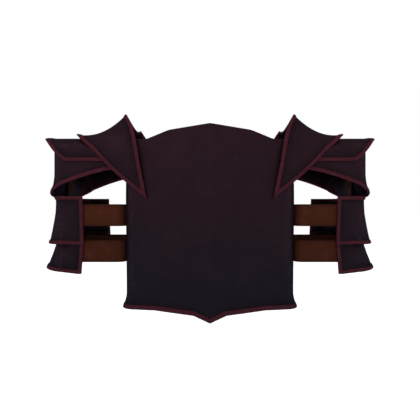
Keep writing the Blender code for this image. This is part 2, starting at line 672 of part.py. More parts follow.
def build_leather(label, side):
    """Build the bands and the plain hidden straps of one side."""
    inside = STEEL / 2 + CLEARANCE + LEATHER / 2
    band_x = GUARD_OUTER_X - inside
    depths = (ARM_HALF_DEPTH, ARM_HALF_DEPTH - LOWER_INSET)
    for name, top_z, depth in zip(("upper", "lower"), BAND_TOPS_Z, depths):
        half_depth = depth - BINDING_HALF - CLEARANCE - LEATHER / 2
        make_band(f"strap_{name}_{label}", band_x, half_depth, top_z, side)

    hang_x = band_x - LEATHER - CLEARANCE
    cap_x = SKIRT_OUTER_X - inside
    bend_top = GUARD_TOP_Z + ARM_LEATHER_BEND_RISE
    bend_low = GUARD_TOP_Z - ARM_LEATHER_BEND_DROP
    path = [(cap_x, 0, ARM_LEATHER_TOP_Z), (cap_x, 0, bend_top), (hang_x, 0, bend_low)]
    path.append((hang_x, 0, BAND_TOPS_Z[1] - BAND_HEIGHT))
    reach = ARM_LEATHER_HALF_WIDTH
    strip = Sheet(leather_wall(np.array(path), -reach, reach, 1))
    make_plate(f"arm_leather_{label}", "brown_leather", strip, LEATHER, side)

    tab_top = roof_point(np.array(TAB_HALF_WIDTH))[1] - STEEL / 2 - TAB_DROP
    ends = (CHEST_HALF_WIDTH - TAB_INSET, CHEST_HALF_WIDTH + TAB_REACH)
    tab = [(x, 0, tab_top - LEATHER / 2) for x in ends]
    strip = Sheet(leather_wall(np.array(tab), -TAB_HALF_WIDTH, TAB_HALF_WIDTH, 1))
    make_plate(f"shoulder_tab_{label}", "brown_leather", strip, LEATHER, side)

    crown = tab_top - LEATHER - CLEARANCE - LEATHER / 2
    far = CHEST_HALF_WIDTH - SHOULDER_STRAP_INSET
    strip = Sheet(leather_wall(shoulder_path(crown, far), far - SHOULDER_STRAP_WIDTH, far, 0))
    make_plate(f"shoulder_strap_{label}", "brown_leather", strip, LEATHER, side)

    flank_x = CHEST_HALF_WIDTH - inside
    flank = [(flank_x, y, 0) for y in (-FLANK_STRAP_HALF_LENGTH, FLANK_STRAP_HALF_LENGTH)]
    low = HEM_Z + FLANK_STRAP_RISE
    strip = Sheet(leather_wall(np.array(flank), low, low + FLANK_STRAP_WIDTH, 2))
    make_plate(f"flank_strap_{label}", "brown_leather", strip, LEATHER, side)


def inner_face(depth, keel, x, z):
    """Return how far out in y the inside of a shell lies at a place on its face."""
    share = x / (CHEST_HALF_WIDTH - CORNER_RADIUS)
    reach = depth * np.interp(z / HEM_Z, DEPTH_ROWS["height"], DEPTH_ROWS["depth"])
    return reach + keel * (1 - share) - CORNER_SETBACK * share ** SETBACK_POWER - STEEL / 2


def shoulder_path(crown, far):
    """Return the shoulder strap's path from the chest's inside over the shoulder to the back's.

    It keeps clear of the shells at the strap's far edge, and crown is its height at the top.
    """
    clear = CLEARANCE + LEATHER / 2
    path = []
    for depth, keel, facing in ((CHEST_DEPTH, KEEL_RISE, -1), (BACK_DEPTH, 0.0, 1)):
        foot = inner_face(depth, keel, far, SHOULDER_STRAP_END_Z) - clear
        leg = [(0, facing * foot, SHOULDER_STRAP_END_Z)]
        end = inner_face(depth, keel, far, SHOULDER_Z) - clear
        for inward, fall in zip(STRAP_ROWS["inward"], STRAP_ROWS["fall"]):
            y = end - inward * SHOULDER_STRAP_BEND
            leg.append((0, facing * y, crown - fall * SHOULDER_STRAP_FALL))
        path += leg if facing < 0 else [(0, 0, crown)] + leg[::-1]
    return np.array(path)


def main():
    """Build the whole object."""
    clear_scene()
    build_torso()
    for label, side in (("left", -1), ("right", 1)):
        build_wing(label, side)
        build_roof(label, side)
        build_skirt(label, side)
        build_guards(label, side)
        build_leather(label, side)


main()
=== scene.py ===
"""Looks of the steel breastplate: smooth dark plates, folded red bindings and leather bands.

Metres, +Z up, and the front faces -Y. A plate is a sheet: a surface worked out on a fine
grid of two parameters, with the plate's two layers half its thickness off it. A binding
is a folded profile carried round the sheet's edge, and a strap is a rounded profile
carried along a path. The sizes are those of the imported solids, so each piece lies where
the node that it stands for lies.
"""
import logging
import math
from dataclasses import dataclass, field
from enum import Enum

import bmesh
import bpy
import numpy as np
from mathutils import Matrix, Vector


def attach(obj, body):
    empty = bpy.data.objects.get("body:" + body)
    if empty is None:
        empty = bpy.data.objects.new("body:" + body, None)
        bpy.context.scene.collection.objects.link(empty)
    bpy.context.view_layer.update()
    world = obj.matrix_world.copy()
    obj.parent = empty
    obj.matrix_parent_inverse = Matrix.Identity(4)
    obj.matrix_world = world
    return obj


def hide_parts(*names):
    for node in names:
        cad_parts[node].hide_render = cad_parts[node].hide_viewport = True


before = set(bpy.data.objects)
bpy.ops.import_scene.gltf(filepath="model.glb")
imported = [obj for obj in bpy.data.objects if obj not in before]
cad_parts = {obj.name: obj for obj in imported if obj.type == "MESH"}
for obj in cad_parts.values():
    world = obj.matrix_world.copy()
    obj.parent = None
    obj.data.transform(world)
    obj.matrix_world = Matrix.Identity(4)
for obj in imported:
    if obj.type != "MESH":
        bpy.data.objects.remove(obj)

ENDING = "_finished"
MERGE_DISTANCE = 2e-6
SHARP_ANGLE = math.radians(40)
QUARTER = math.pi / 2
NO_LENGTH = 1e-12
SMALL = 1e-9
TAPS = np.array((-1.0, -0.5, 0.0, 0.5, 1.0))
TAP_WEIGHTS = np.array((0.12, 0.23, 0.30, 0.23, 0.12))
X_WAY, Y_WAY, Z_WAY = np.eye(3)
LOG = logging.getLogger("breastplate")

Rows = dict[str, tuple[float, ...]]
Triple = tuple[float, float, float]
Values = np.ndarray | float
Socket = bpy.types.NodeSocket


def table(**columns: tuple[float, ...]) -> Rows:
    """Declare a dataclass field that holds named columns of equal length."""
    return field(default_factory=lambda: columns)


class Side(Enum):
    """An edge of a sheet's grid, in order round it."""

    FIRST = "first"
    RIGHT = "right"
    LAST = "last"
    LEFT = "left"

    @property
    def crosswise(self) -> bool:
        """Whether the edge is a row of the grid, and not a column."""
        return self in (Side.FIRST, Side.LAST)

    @property
    def far(self) -> bool:
        """Whether the edge is at the grid's high numbers."""
        return self in (Side.RIGHT, Side.LAST)


class Hand(Enum):
    """A side of the object as seen from the front, by the sign of its x."""

    LEFT = -1
    RIGHT = 1

    @property
    def ending(self) -> str:
        """The end of its nodes' names."""
        return f"_{self.name.lower()}"


@dataclass(frozen=True)
class Stock:
    """Thicknesses and fits that all pieces share."""

    steel: float = 0.002
    wall: float = 0.001
    width: float = 0.0073
    hem_width: float = 0.009
    clearance: float = 0.0003
    leather: float = 0.0025
    lip_round: float = 0.0005
    strap_round: float = 0.0011

    @property
    def slot(self) -> float:
        """Half the gap that a folded binding leaves for its plate."""
        return self.steel / 2 + self.clearance

    @property
    def half_binding(self) -> float:
        """Half a folded binding's thickness."""
        return self.slot + self.wall

    @property
    def tuck(self) -> float:
        """How far a plate's rim stays back from its binding's outer edge."""
        return self.wall + 2 * self.clearance

    @property
    def inside(self) -> float:
        """From the middle of a plate to the middle of the leather against it."""
        return self.steel / 2 + self.clearance + self.leather / 2


@dataclass(frozen=True)
class Body:
    """Driving sizes of the whole, on the middle of the plates."""

    chest_half_width: float = 0.1696
    corner_setback: float = 0.006
    setback_power: float = 4.0
    corner_radius: float = 0.022
    shoulder_z: float = -0.0035
    hem_z: float = -0.3414
    arm_breadth: float = 0.1472
    arm_half_depth: float = 0.096
    guard_side_inset: float = 0.0034
    guard_top_z: float = -0.1158
    depth_rows: Rows = table(height=(0.0, 0.34, 0.89, 1.0, 1.2), depth=(0.93, 1.0, 0.925, 0.94, 0.94))

    @property
    def guard_outer_x(self) -> float:
        """Where the guards' outer sides are."""
        return self.chest_half_width + self.arm_breadth - self.guard_side_inset

    @property
    def skirt_outer_x(self) -> float:
        """Where the outer side of the cap's lower lame is."""
        return self.chest_half_width + self.arm_breadth


@dataclass(frozen=True)
class Shell:
    """What differs between the chest's shell, which faces -1 in y, and the back's.

    depth goes from the mid-plane to the face, keel is how far the middle stands out,
    neck_rise is the top edge's at the middle, and point_drop is the hem's.
    """

    name: str
    facing: int
    depth: float
    keel: float
    neck_rise: float
    point_drop: float
    rows: int

    def bow(self, share: Values) -> Values:
        """Return how far the face bows out: the keel's line less a power of the share across."""
        return self.keel * (1 - share) - BODY.corner_setback * share ** BODY.setback_power


STOCK = Stock()
BODY = Body()
CHEST = Shell("breastplate", -1, depth=0.113, keel=0.008, neck_rise=0.0294, point_drop=0.0236, rows=110)
BACK = Shell("backplate", 1, depth=0.104, keel=0.0, neck_rise=0.012, point_drop=0.0, rows=80)


def unit(vectors: np.ndarray) -> np.ndarray:
    """Scale vectors to length one."""
    return vectors / np.maximum(np.linalg.norm(vectors, axis=-1, keepdims=True), NO_LENGTH)


def read_rows(rows: Rows, across: str, value: str, place: np.ndarray, blur: float) -> np.ndarray:
    """Read a table of straight stretches with its corners rounded.

    The result is the weighted mean of the stretches' values at five places, spread over
    blur on either side. Below the table's start its first value holds. Past its end the table
    goes on as if turned half round about its last point.

    Args:
        rows: named columns of equal length.
        across: the column that place is measured along.
        value: the column to read.
        place: where to read, any shape.
        blur: half the width that a corner is rounded over.

    Returns:
        The values, in the shape of place.
    """
    spread = np.asarray(place)[..., None] + TAPS * blur
    within = np.minimum(spread, rows[across][-1])
    read = 2 * np.interp(within, rows[across], rows[value])
    return (read - np.interp(2 * within - spread, rows[across], rows[value])) @ TAP_WEIGHTS


def smooth_rows(rows: np.ndarray, place: np.ndarray) -> np.ndarray:
    """Pass a smooth curve through rows that are numbered from nought.

    Between two rows it is the cubic that has, at each of them, half the step from the
    row before to the row after as its slope.

    Args:
        rows: one row of values for each whole number.
        place: fractional row numbers.

    Returns:
        One row of values for each place.
    """
    slope = np.gradient(rows, axis=0)
    low = np.clip(place.astype(int), 0, len(rows) - 2)
    t = (place - low)[:, None]
    from_start = rows[low] * (1 + 2 * t) + slope[low] * t
    from_end = rows[low + 1] * (3 - 2 * t) - slope[low + 1] * (1 - t)
    return from_start * (1 - t) ** 2 + from_end * t ** 2


def ring_quads(stations: int, around: int, closed: bool) -> np.ndarray:
    """Return the quads between neighbouring copies of a closed profile.

    Args:
        stations: how many copies there are.
        around: points in the profile.
        closed: whether the last copy joins the first.

    Returns:
        Point numbers, four a row.
    """
    here = np.arange(stations if closed else stations - 1)[:, None]
    point = np.arange(around)[None, :]
    after, beside = (here + 1) % stations, (point + 1) % around
    corners = (here, point), (here, beside), (after, beside), (after, point)
    return np.stack([row * around + k for row, k in corners], axis=-1).reshape(-1, 4)


def corner_arcs(
    low: tuple[float, float], high: tuple[float, float], radius: float, steps: int
) -> list[np.ndarray]:
    """Return a rounded rectangle's four quarter circles, round from the one at high x and y.

    Args:
        low: center of the arc at low x and y.
        high: center of the arc at high x and y.
        radius: the arcs' radius.
        steps: points in each arc.
    """
    turn = np.linspace(0.0, QUARTER, steps)
    centers = high, (low[0], high[1]), low, (high[0], low[1])
    return [
        np.column_stack([x + radius * np.cos(turn + start), y + radius * np.sin(turn + start)])
        for (x, y), start in zip(centers, (0.0, QUARTER, 2 * QUARTER, 3 * QUARTER))
    ]


@dataclass
class Form:
    """A closed surface before it is an object: points, faces, and two marks for each point.

    The first mark is painted shade and darker strap edges. On a plate it is one beside
    the binding, where shade falls, and falls off from there; on inner faces it is at least
    a fixed share of painted shade. On a strap it is one at the edges, which are darker, and
    it is painted shade on the strap's inner face and on the hanger. worn is one where hands
    and use would rub the piece most.
    """

    points: np.ndarray
    quads: np.ndarray
    sooty: np.ndarray
    worn: np.ndarray
    caps: list[list[int]] = field(default_factory=list)

    @classmethod
    def carried(cls, copies: np.ndarray, closed: bool, sooty: np.ndarray, worn: np.ndarray) -> "Form":
        """Join copies of a closed profile into a tube, with flat ends where it is open.

        Args:
            copies: the profile's points at each station.
            closed: whether the last station joins the first.
            sooty: the mark for each point of the profile.
            worn: the mark for each point of the profile.

        Returns:
            The closed surface.
        """
        stations, around = copies.shape[:2]
        first = list(range(around))
        last = [(stations - 1) * around + k for k in reversed(first)]
        marks = (np.tile(values, stations) for values in (sooty, worn))
        caps = [] if closed else [first, last]
        return cls(copies.reshape(-1, 3), ring_quads(stations, around, closed), *marks, caps)

    def make(self, name: str, hand: Hand) -> bpy.types.Object:
        """Make the object, merge what coincides and turn its faces outward.

        Args:
            name: the object's name.
            hand: the side that it is for; the left one is mirrored in x.

        Returns:
            The object, at the origin.
        """
        mesh = bpy.data.meshes.new(name)
        mesh.from_pydata((self.points * (hand.value, 1, 1)).tolist(), [], self.quads.tolist() + self.caps)
        for mark in ("sooty", "worn"):
            values = getattr(self, mark).astype(np.float32)
            mesh.attributes.new(mark, "FLOAT", "POINT").data.foreach_set("value", values)
        work = bmesh.new()
        work.from_mesh(mesh)
        bmesh.ops.remove_doubles(work, verts=work.verts, dist=MERGE_DISTANCE)
        bmesh.ops.dissolve_degenerate(work, edges=work.edges, dist=MERGE_DISTANCE)
        bmesh.ops.recalc_face_normals(work, faces=work.faces)
        work.to_mesh(mesh)
        work.free()
        mesh.shade_smooth()
        mesh.set_sharp_from_angle(angle=SHARP_ANGLE)
        made = bpy.data.objects.new(name, mesh)
        bpy.context.scene.collection.objects.link(made)
        return made


@dataclass
class Sheet:
    """A plate's middle surface on a fine grid, with the edges that are bound.

    The normals, down the grid crossed with along it, point to the plate's outside. A
    tipped sheet has single points for its first and last rows, and is bound on its right
    and left.
    """

    grid: np.ndarray
    bound: tuple[Side, ...]
    tipped: bool = False
    width: float = STOCK.width
    # The reach of the painted shade beside the bindings, and its share on the inner faces.
    grime_reach: float = 0.009
    bend_full: float = 160.0
    rim_wear: float = 0.7
    inner_soot: float = 0.2
    tip_share: float = 0.35
    least_slant: float = 0.3
    fold_steps: int = 13
    flap_steps: int = 4
    normals: np.ndarray = field(init=False)

    def __post_init__(self) -> None:
        """Work out the normals, the cross product of the steps down and along the grid."""
        self.normals = unit(np.cross(np.gradient(self.grid, axis=0), np.gradient(self.grid, axis=1)))
        if self.tipped:
            self.normals[0], self.normals[-1] = self.normals[1].mean(axis=0), self.normals[-2].mean(axis=0)

    @property
    def last(self) -> np.ndarray:
        """The grid's last row and column numbers."""
        return np.array(self.grid.shape[:2]) - 1

    @property
    def closed(self) -> bool:
        """Whether the bound edge goes all the way round."""
        return self.tipped or len(self.bound) == len(Side)

    def read(self, values: np.ndarray, place: np.ndarray) -> np.ndarray:
        """Read grid values between the grid's lines.

        Each is the mean of the four values round the place, weighted by nearness.

        Args:
            values: one value or vector for each grid point.
            place: fractional row and column numbers in the last axis.

        Returns:
            The values at the places.
        """
        low = np.clip(place.astype(int), 0, self.last - 1)
        (i, j), (down, along) = np.moveaxis(low, -1, 0), np.moveaxis(place - low, -1, 0)
        if values.ndim > 2:
            down, along = down[..., None], along[..., None]
        upper = values[i, j] * (1 - along) + values[i, j + 1] * along
        lower = values[i + 1, j] * (1 - along) + values[i + 1, j + 1] * along
        return upper * (1 - down) + lower * down

    def at(self, place: np.ndarray, offset: Values = 0.0) -> np.ndarray:
        """Return the points at places on the grid, moved along the normal by an offset."""
        normal = unit(self.read(self.normals, place))
        return self.read(self.grid, place) + normal * np.asarray(offset)[..., None]

    def runs(self, side: Side) -> np.ndarray:
        """Return each grid point's distance from a side, along the grid line across it."""
        axis = 0 if side.crosswise else 1
        steps = np.linalg.norm(np.diff(self.grid, axis=axis), axis=-1)
        pads = [(0, 0), (0, 0)]
        pads[axis] = (1, 0)
        run = np.pad(np.cumsum(steps, axis=axis), pads)
        return np.take(run, [-1], axis=axis) - run if side.far else run

    def reach_in(self, side: Side, distance: float) -> np.ndarray:
        """Find how many grid lines in from a side a distance square to the side goes.

        A grid line's own length to there is the distance over the sine of the line's
        angle to the side.

        Args:
            side: the edge to start from.
            distance: how far in.

        Returns:
            The number of lines, for each place along the side.
        """
        run, lines = self.runs(side), self.grid
        if not side.crosswise:
            run, lines = run.T, lines.swapaxes(0, 1)
        if side.far:
            run, lines = run[::-1], lines[::-1]
        way, edge = unit(lines[1] - lines[0]), unit(np.gradient(lines[0], axis=0))
        slant = np.linalg.norm(np.cross(way, edge), axis=-1)
        goal = distance / np.maximum(slant, self.least_slant)
        column = np.arange(run.shape[1])
        low = np.clip((run < goal).sum(axis=0) - 1, 0, len(run) - 2)
        step = np.maximum(run[low + 1, column] - run[low, column], SMALL)
        return np.minimum(low + (goal - run[low, column]) / step, len(run) - 1)

    def trimmed(self, distance: float) -> np.ndarray:
        """Return the grid's places with the bound edges drawn in.

        A tipped sheet's first row becomes the one where the two sides' trims meet.

        Args:
            distance: how far the edges are drawn in.

        Returns:
            Fractional row and column numbers for each grid point.
        """
        rows, columns = self.last
        i, j = np.meshgrid(np.arange(rows + 1.0), np.arange(columns + 1.0), indexing="ij")
        reach = {side: self.reach_in(side, distance) if side in self.bound else 0.0 for side in Side}
        sides = Side.LEFT, Side.RIGHT
        if self.tipped:
            start = float(np.argmax(reach[Side.LEFT] + reach[Side.RIGHT] < columns - 1))
            down = start + (rows - 2 * start) * i / rows
            left, right = (np.interp(down, np.arange(rows + 1), reach[side]) for side in sides)
        else:
            down = reach[Side.FIRST] + (rows - reach[Side.FIRST] - reach[Side.LAST]) * i / rows
            left, right = (np.broadcast_to(reach[side], rows + 1)[:, None] for side in sides)
        return np.stack([down, left + (columns - left - right) * j / columns], axis=-1)

    def edge_lines(self) -> tuple[np.ndarray, np.ndarray]:
        """Return the bound edge's places, and for each the place at the binding's inner line.

        Beside a corner between two bound sides the inner places stay at the corner's
        own, which makes a mitre. Towards a tip they stop at the sheet's middle.

        Returns:
            Outer and inner places, without a repeated last one where the edge is closed.
        """
        reach = {side: self.reach_in(side, self.width) for side in self.bound}
        outer_runs, inner_runs = [], []
        for side in self.bound:
            size, count = self.last if side.crosswise else self.last[::-1]
            run = np.arange(count + 1.0)
            before, after = (Side.LEFT, Side.RIGHT) if side.crosswise else (Side.FIRST, Side.LAST)
            end = -1 if side.far else 0
            low = reach[before][end] if before in reach else 0.0
            high = count - (reach[after][end] if after in reach else 0.0)
            held = np.clip(run, low, high)
            inward = np.interp(held, run, reach[side])
            if self.tipped:
                inward = np.minimum(inward, size / 2)
            level = size - inward if side.far else inward
            edge = np.full(count + 1, float(size) if side.far else 0.0)
            pairs = [[edge, run], [level, held]] if side.crosswise else [[run, edge], [held, level]]
            outer, inner = (np.stack(pair, axis=-1) for pair in pairs)
            if side in (Side.LAST, Side.LEFT):
                outer, inner = outer[::-1], inner[::-1]
            outer_runs.append(outer[1 if outer_runs else 0:])
            inner_runs.append(inner[1 if inner_runs else 0:])
        stop = -1 if self.closed else None
        return np.concatenate(outer_runs)[:stop], np.concatenate(inner_runs)[:stop]

    def bend(self) -> np.ndarray:
        """Return how sharply the sheet bends at each point, as one over the radius.

        It is the normal's change along each grid direction over the step, the two added.
        It is positive where the side that the normals point to is the convex one.
        """
        total = np.zeros(self.grid.shape[:2])
        for axis in (0, 1):
            step, turn = np.gradient(self.grid, axis=axis), np.gradient(self.normals, axis=axis)
            total += (step * turn).sum(axis=-1) / np.maximum((step ** 2).sum(axis=-1), SMALL)
        return total

    def plate(self) -> Form:
        """Return the plate: a layer on each side of the sheet and a rounded rim between them.

        The rim's middle stands out from the layers' edges by a quarter of the thickness,
        away from the grid line next to the edge.
        """
        places = self.trimmed(STOCK.tuck)
        half = STOCK.steel / 2
        rows, columns = places.shape[:2]
        i, j = np.meshgrid(np.arange(rows - 1), np.arange(columns - 1), indexing="ij")
        corners = (i, j), (i + 1, j), (i + 1, j + 1), (i, j + 1)
        front = np.stack([row * columns + column for row, column in corners], axis=-1).reshape(-1, 4)
        layer = rows * columns
        number = np.arange(layer).reshape(rows, columns)
        ring = np.concatenate([number[0, :-1], number[:-1, -1], number[-1, :0:-1], number[:0:-1, 0]])
        middle = self.at(places)
        beside = np.concatenate([middle[1, :-1], middle[:-1, -2], middle[-2, :0:-1], middle[:0:-1, 1]])
        edge = middle.reshape(-1, 3)[ring]
        rim = edge + unit(edge - beside) * half / 2
        layers = [self.at(places, offset).reshape(-1, 3) for offset in (half, -half)]
        crest, after = 2 * layer + np.arange(len(ring)), np.roll(ring, -1)
        quads = np.concatenate([
            front,
            front[:, ::-1] + layer,
            np.stack([ring, after, np.roll(crest, -1), crest], axis=-1),
            np.stack([crest, np.roll(crest, -1), after + layer, ring + layer], axis=-1),
        ])
        # Painted shade: darker beside the bound edges, where shade falls, and a fixed share of it on the
        # inner layer.
        distance = np.min([self.runs(side) for side in self.bound], axis=0)
        binding_shade = self.read(np.exp(-np.maximum(distance - self.width, 0.0) / self.grime_reach), places).ravel()
        bend = self.read(self.bend(), places).ravel() / self.bend_full
        worn = np.concatenate([np.clip(bend, 0, 1), np.clip(-bend, 0, 1), np.full(len(ring), self.rim_wear)])
        sooty = np.concatenate([binding_shade, binding_shade * 0 + self.inner_soot, binding_shade[ring]])
        return Form(np.concatenate([*layers, rim]), quads, sooty, worn)

    def binding(self) -> Form:
        """Return the binding: a channel folded over the bound edge.

        The section is a half circle at the fold, a straight flap on either side with a
        rounded lip, and a square slot. A point of it lies a share of the way from the
        edge to the binding's inner line, off the sheet by the section's height. Towards
        a tip the section gets lower.
        """
        half, lip, wide = STOCK.half_binding, STOCK.lip_round, self.width
        fold = np.linspace(-QUARTER, QUARTER, self.fold_steps)
        turn = np.linspace(0.0, QUARTER, self.flap_steps)
        run = np.linspace(half, wide - lip, self.flap_steps)[1:-1]
        flap = np.concatenate([
            np.column_stack([run, run * 0 + half]),
            np.column_stack([wide - lip + lip * np.sin(turn), half - lip + lip * np.cos(turn)]),
            [(wide, STOCK.slot), (STOCK.wall, STOCK.slot)],
        ])
        round_fold = np.column_stack([half * (1 - np.cos(fold)), half * np.sin(fold)])
        section = np.concatenate([round_fold, flap, flap[::-1] * (1, -1)])
        outer, inner = self.edge_lines()
        gap = np.linalg.norm(self.at(inner) - self.at(outer), axis=-1)
        height = self.tip_share + (1 - self.tip_share) * np.clip(gap / STOCK.tuck, 0, 1)
        share = (section[:, 0] / wide)[None, :, None]
        places = outer[:, None] * (1 - share) + inner[:, None] * share
        copies = self.at(places, height[:, None] * section[:, 1])
        worn = np.clip(1 - section[:, 0] / half, 0, 1)
        return Form.carried(copies, self.closed, np.zeros(len(section)), worn)


@dataclass
class Strap:
    """A leather strip with rounded edges, carried along a path."""

    path: np.ndarray
    width_way: np.ndarray
    width: float
    closed: bool = False
    edge_reach: float = 0.004
    # Painted shade: over the whole strap, and on its inner face, where shade falls.
    soil: float = 0.0
    inner_soil: float = 0.8
    wear_power: int = 4
    round_steps: int = 5
    face_steps: int = 15

    def form(self) -> Form:
        """Carry the section along the path, square to it.

        The section is a rectangle whose corners are quarter circles. A point is the
        path's point, plus the section's place across along width_way, plus its height
        along the cross product of the path's direction and width_way.
        """
        small, flat, rise = STOCK.strap_round, self.width / 2, STOCK.leather / 2
        across = np.linspace(-1.0, 1.0, self.face_steps)[1:-1] * (flat - small)
        center = flat - small, rise - small
        corners = corner_arcs((-center[0], -center[1]), center, small, self.round_steps)
        top = np.column_stack([across[::-1], np.full(len(across), rise)])
        section = np.concatenate([corners[0], top, corners[1], corners[2], top[::-1] * (1, -1), corners[3]])
        if self.closed:
            ahead = np.roll(self.path, -1, axis=0) - np.roll(self.path, 1, axis=0)
        else:
            ahead = np.gradient(self.path, axis=0)
        out = unit(np.cross(unit(ahead), self.width_way))
        copies = self.path[:, None] + section[:, :1] * self.width_way + section[:, 1:] * out[:, None]
        # Darker towards the edges; painted shade on the inner face and where the whole strap is shaded.
        edge = np.exp((np.abs(section[:, 0]) - flat) / self.edge_reach)
        soil = np.where(section[:, 1] < 0, self.inner_soil, self.soil)
        return Form.carried(copies, self.closed, np.maximum(edge, soil), edge ** self.wear_power)


@dataclass(frozen=True)
class Grain:
    """Soft noise: the size of its patches in metres, its finer layers and its scale in each axis."""

    size: float
    detail: float = 3.0
    stretch: Triple = (1.0, 1.0, 1.0)


@dataclass(frozen=True)
class Patches:
    """Noise between low and high, carried to another range."""

    grain: Grain
    low: float
    high: float
    to_low: float = 0.0
    to_high: float = 1.0


@dataclass(frozen=True)
class Relief:
    """Noise that raises the surface by a depth in metres."""

    grain: Grain
    depth: float
    strength: float


class Shader:
    """Adds shader nodes to a material and joins them, in few words."""

    noise_roughness: float = 0.55

    def __init__(self, name: str) -> None:
        """Start a material whose Principled shader waits for its inputs."""
        self.material = bpy.data.materials.new(name)
        self.material.use_nodes = True
        self.tree = self.material.node_tree
        self.surface = self.tree.nodes["Principled BSDF"]
        self.place = self.add("ShaderNodeTexCoord").outputs["Object"]
        self.height = self.add("ShaderNodeSeparateXYZ", {"Vector": self.place}).outputs["Z"]

    def add(self, kind: str, inputs: dict | None = None, **settings: object) -> bpy.types.Node:
        """Add a node.

        Args:
            kind: Blender's name of the node type.
            inputs: an output socket or a plain value for each input, by name or number.
            settings: the node's own properties.

        Returns:
            The node.
        """
        node = self.tree.nodes.new(kind)
        for name, value in settings.items():
            setattr(node, name, value)
        for name, value in (inputs or {}).items():
            self.join(value, node.inputs[name])
        return node

    def join(self, value: object, socket: Socket) -> None:
        """Link an output to an input, or set the input where the value is a plain one."""
        if isinstance(value, Socket):
            self.tree.links.new(value, socket)
        elif isinstance(value, tuple) and socket.type == "RGBA":
            socket.default_value = (*value, 1.0)
        else:
            socket.default_value = value

    def mark(self, name: str) -> Socket:
        """Return a mark that the piece's points carry."""
        return self.add("ShaderNodeAttribute", attribute_name=name).outputs["Fac"]

    def noise(self, grain: Grain) -> Socket:
        """Return soft noise."""
        mapped = self.add("ShaderNodeMapping", {"Vector": self.place, "Scale": grain.stretch})
        inputs = {"Vector": mapped.outputs["Vector"], "Scale": 1.0 / grain.size}
        inputs |= {"Detail": grain.detail, "Roughness": self.noise_roughness}
        return self.add("ShaderNodeTexNoise", inputs).outputs["Fac"]

    def spread(
        self, value: Socket, low: float, high: float, to_low: float = 0.0, to_high: float = 1.0
    ) -> Socket:
        """Return a value carried from one range to another, easing in and out at the ends."""
        inputs = {"Value": value, "From Min": low, "From Max": high, "To Min": to_low, "To Max": to_high}
        return self.add("ShaderNodeMapRange", inputs, interpolation_type="SMOOTHSTEP").outputs["Result"]

    def times(self, one: object, other: object) -> Socket:
        """Return the product of two values."""
        return self.add("ShaderNodeMath", {0: one, 1: other}, operation="MULTIPLY").outputs["Value"]

    def plus(self, one: object, other: object) -> Socket:
        """Return the sum of two values."""
        return self.add("ShaderNodeMath", {0: one, 1: other}, operation="ADD").outputs["Value"]

    def blend(self, share: object, low: object, high: object) -> Socket:
        """Return the color that is a share of the way from one color to another."""
        node = self.add("ShaderNodeMix", {"Factor": share}, data_type="RGBA")
        sockets = {socket.identifier: socket for socket in (*node.inputs, *node.outputs)}
        self.join(low, sockets["A_Color"])
        self.join(high, sockets["B_Color"])
        return sockets["Result_Color"]

    def bump(
        self, height: Socket, depth: float, strength: float, under: object = None
    ) -> Socket:
        """Return a normal that follows a height of a depth in metres, laid over an earlier normal."""
        inputs = {"Height": height, "Distance": depth, "Strength": strength}
        if under is not None:
            inputs["Normal"] = under
        return self.add("ShaderNodeBump", inputs).outputs["Normal"]

    def patches(self, kind: Patches) -> Socket:
        """Return noise as patches."""
        return self.spread(self.noise(kind.grain), kind.low, kind.high, kind.to_low, kind.to_high)

    def relief(self, kind: Relief, under: object = None) -> Socket:
        """Return the normal of a noise relief, laid over an earlier normal."""
        return self.bump(self.noise(kind.grain), kind.depth, kind.strength, under)

    def finish(self, **inputs: object) -> bpy.types.Material:
        """Join or set the surface's inputs, named with underscores for spaces, and return the material."""
        names = {socket.name.lower().replace(" ", "_"): socket for socket in self.surface.inputs}
        for name, value in inputs.items():
            self.join(value, names[name])
        return self.material


@dataclass(frozen=True)
class Finish:
    """What every finish has: the record's slot, the material's name and the tones.

    The low and high colours paint shade and light by height: darker low down and lighter
    high up on the object, as light from above falls on it.
    """

    slot: str
    material: str
    # Painted shade and light: the colour is darker low down and lighter high up.
    low_tone: Triple
    high_tone: Triple
    # The colour laid over: rubbed bare metal on the metals; dark furrows, darker edges and painted shade on
    # the leather.
    worn_tone: Triple
    # Heights where the painted shade and light start and end.
    tone_low_z: float = -0.36
    tone_high_z: float = 0.03
    drift: Patches = Patches(Grain(0.11), 0.25, 0.75, -0.05, 0.05)

    def tone(self, shader: Shader) -> Socket:
        """Return painted shade and light: the color turns from the dark low one to the light high one with
        height, unevenly.
        """
        height = shader.plus(shader.height, shader.patches(self.drift))
        share = shader.spread(height, self.tone_low_z, self.tone_high_z)
        return shader.blend(share, self.low_tone, self.high_tone)

    def make(self) -> bpy.types.Material:
        """Return the material, which each finish makes in its own way."""
        raise NotImplementedError


@dataclass(frozen=True)
class Metal(Finish):
    """A coated metal, rubbed where use would rub it, with one relief laid over another."""

    rubbing: Patches = Patches(Grain(0.006, 5.0), 0.40, 0.72)
    rub_share: float = 0.35
    rub_polish: float = 0.14
    scratches: Patches | None = None
    scratch_share: float = 0.20
    roughness: Patches = Patches(Grain(0.03), 0.3, 0.7, 0.50, 0.62)
    lower_relief: Relief = Relief(Grain(0.035, 1.0), 0.0010, 0.30)
    upper_relief: Relief = Relief(Grain(0.0012, 3.0, (1.0, 1.0, 0.12)), 0.00012, 0.35)
    grazing_tint: Triple = (0.46, 0.49, 0.54)

    def coat(self, shader: Shader) -> Socket:
        """Return the coat's color, which each metal lays in its own way."""
        raise NotImplementedError

    def make(self) -> bpy.types.Material:
        """Lay wear by worn and noise over the coat, then scratches, and smooth what is worn."""
        shader = Shader(self.material)
        rubbed = shader.times(shader.mark("worn"), shader.patches(self.rubbing))
        color = shader.blend(shader.times(rubbed, self.rub_share), self.coat(shader), self.worn_tone)
        if self.scratches:
            share = shader.times(shader.patches(self.scratches), self.scratch_share)
            color = shader.blend(share, color, self.worn_tone)
        rough = shader.plus(shader.patches(self.roughness), shader.times(rubbed, -self.rub_polish))
        normal = shader.relief(self.upper_relief, shader.relief(self.lower_relief))
        return shader.finish(
            base_color=color, roughness=rough, normal=normal, metallic=1.0, specular_tint=self.grazing_tint,
        )


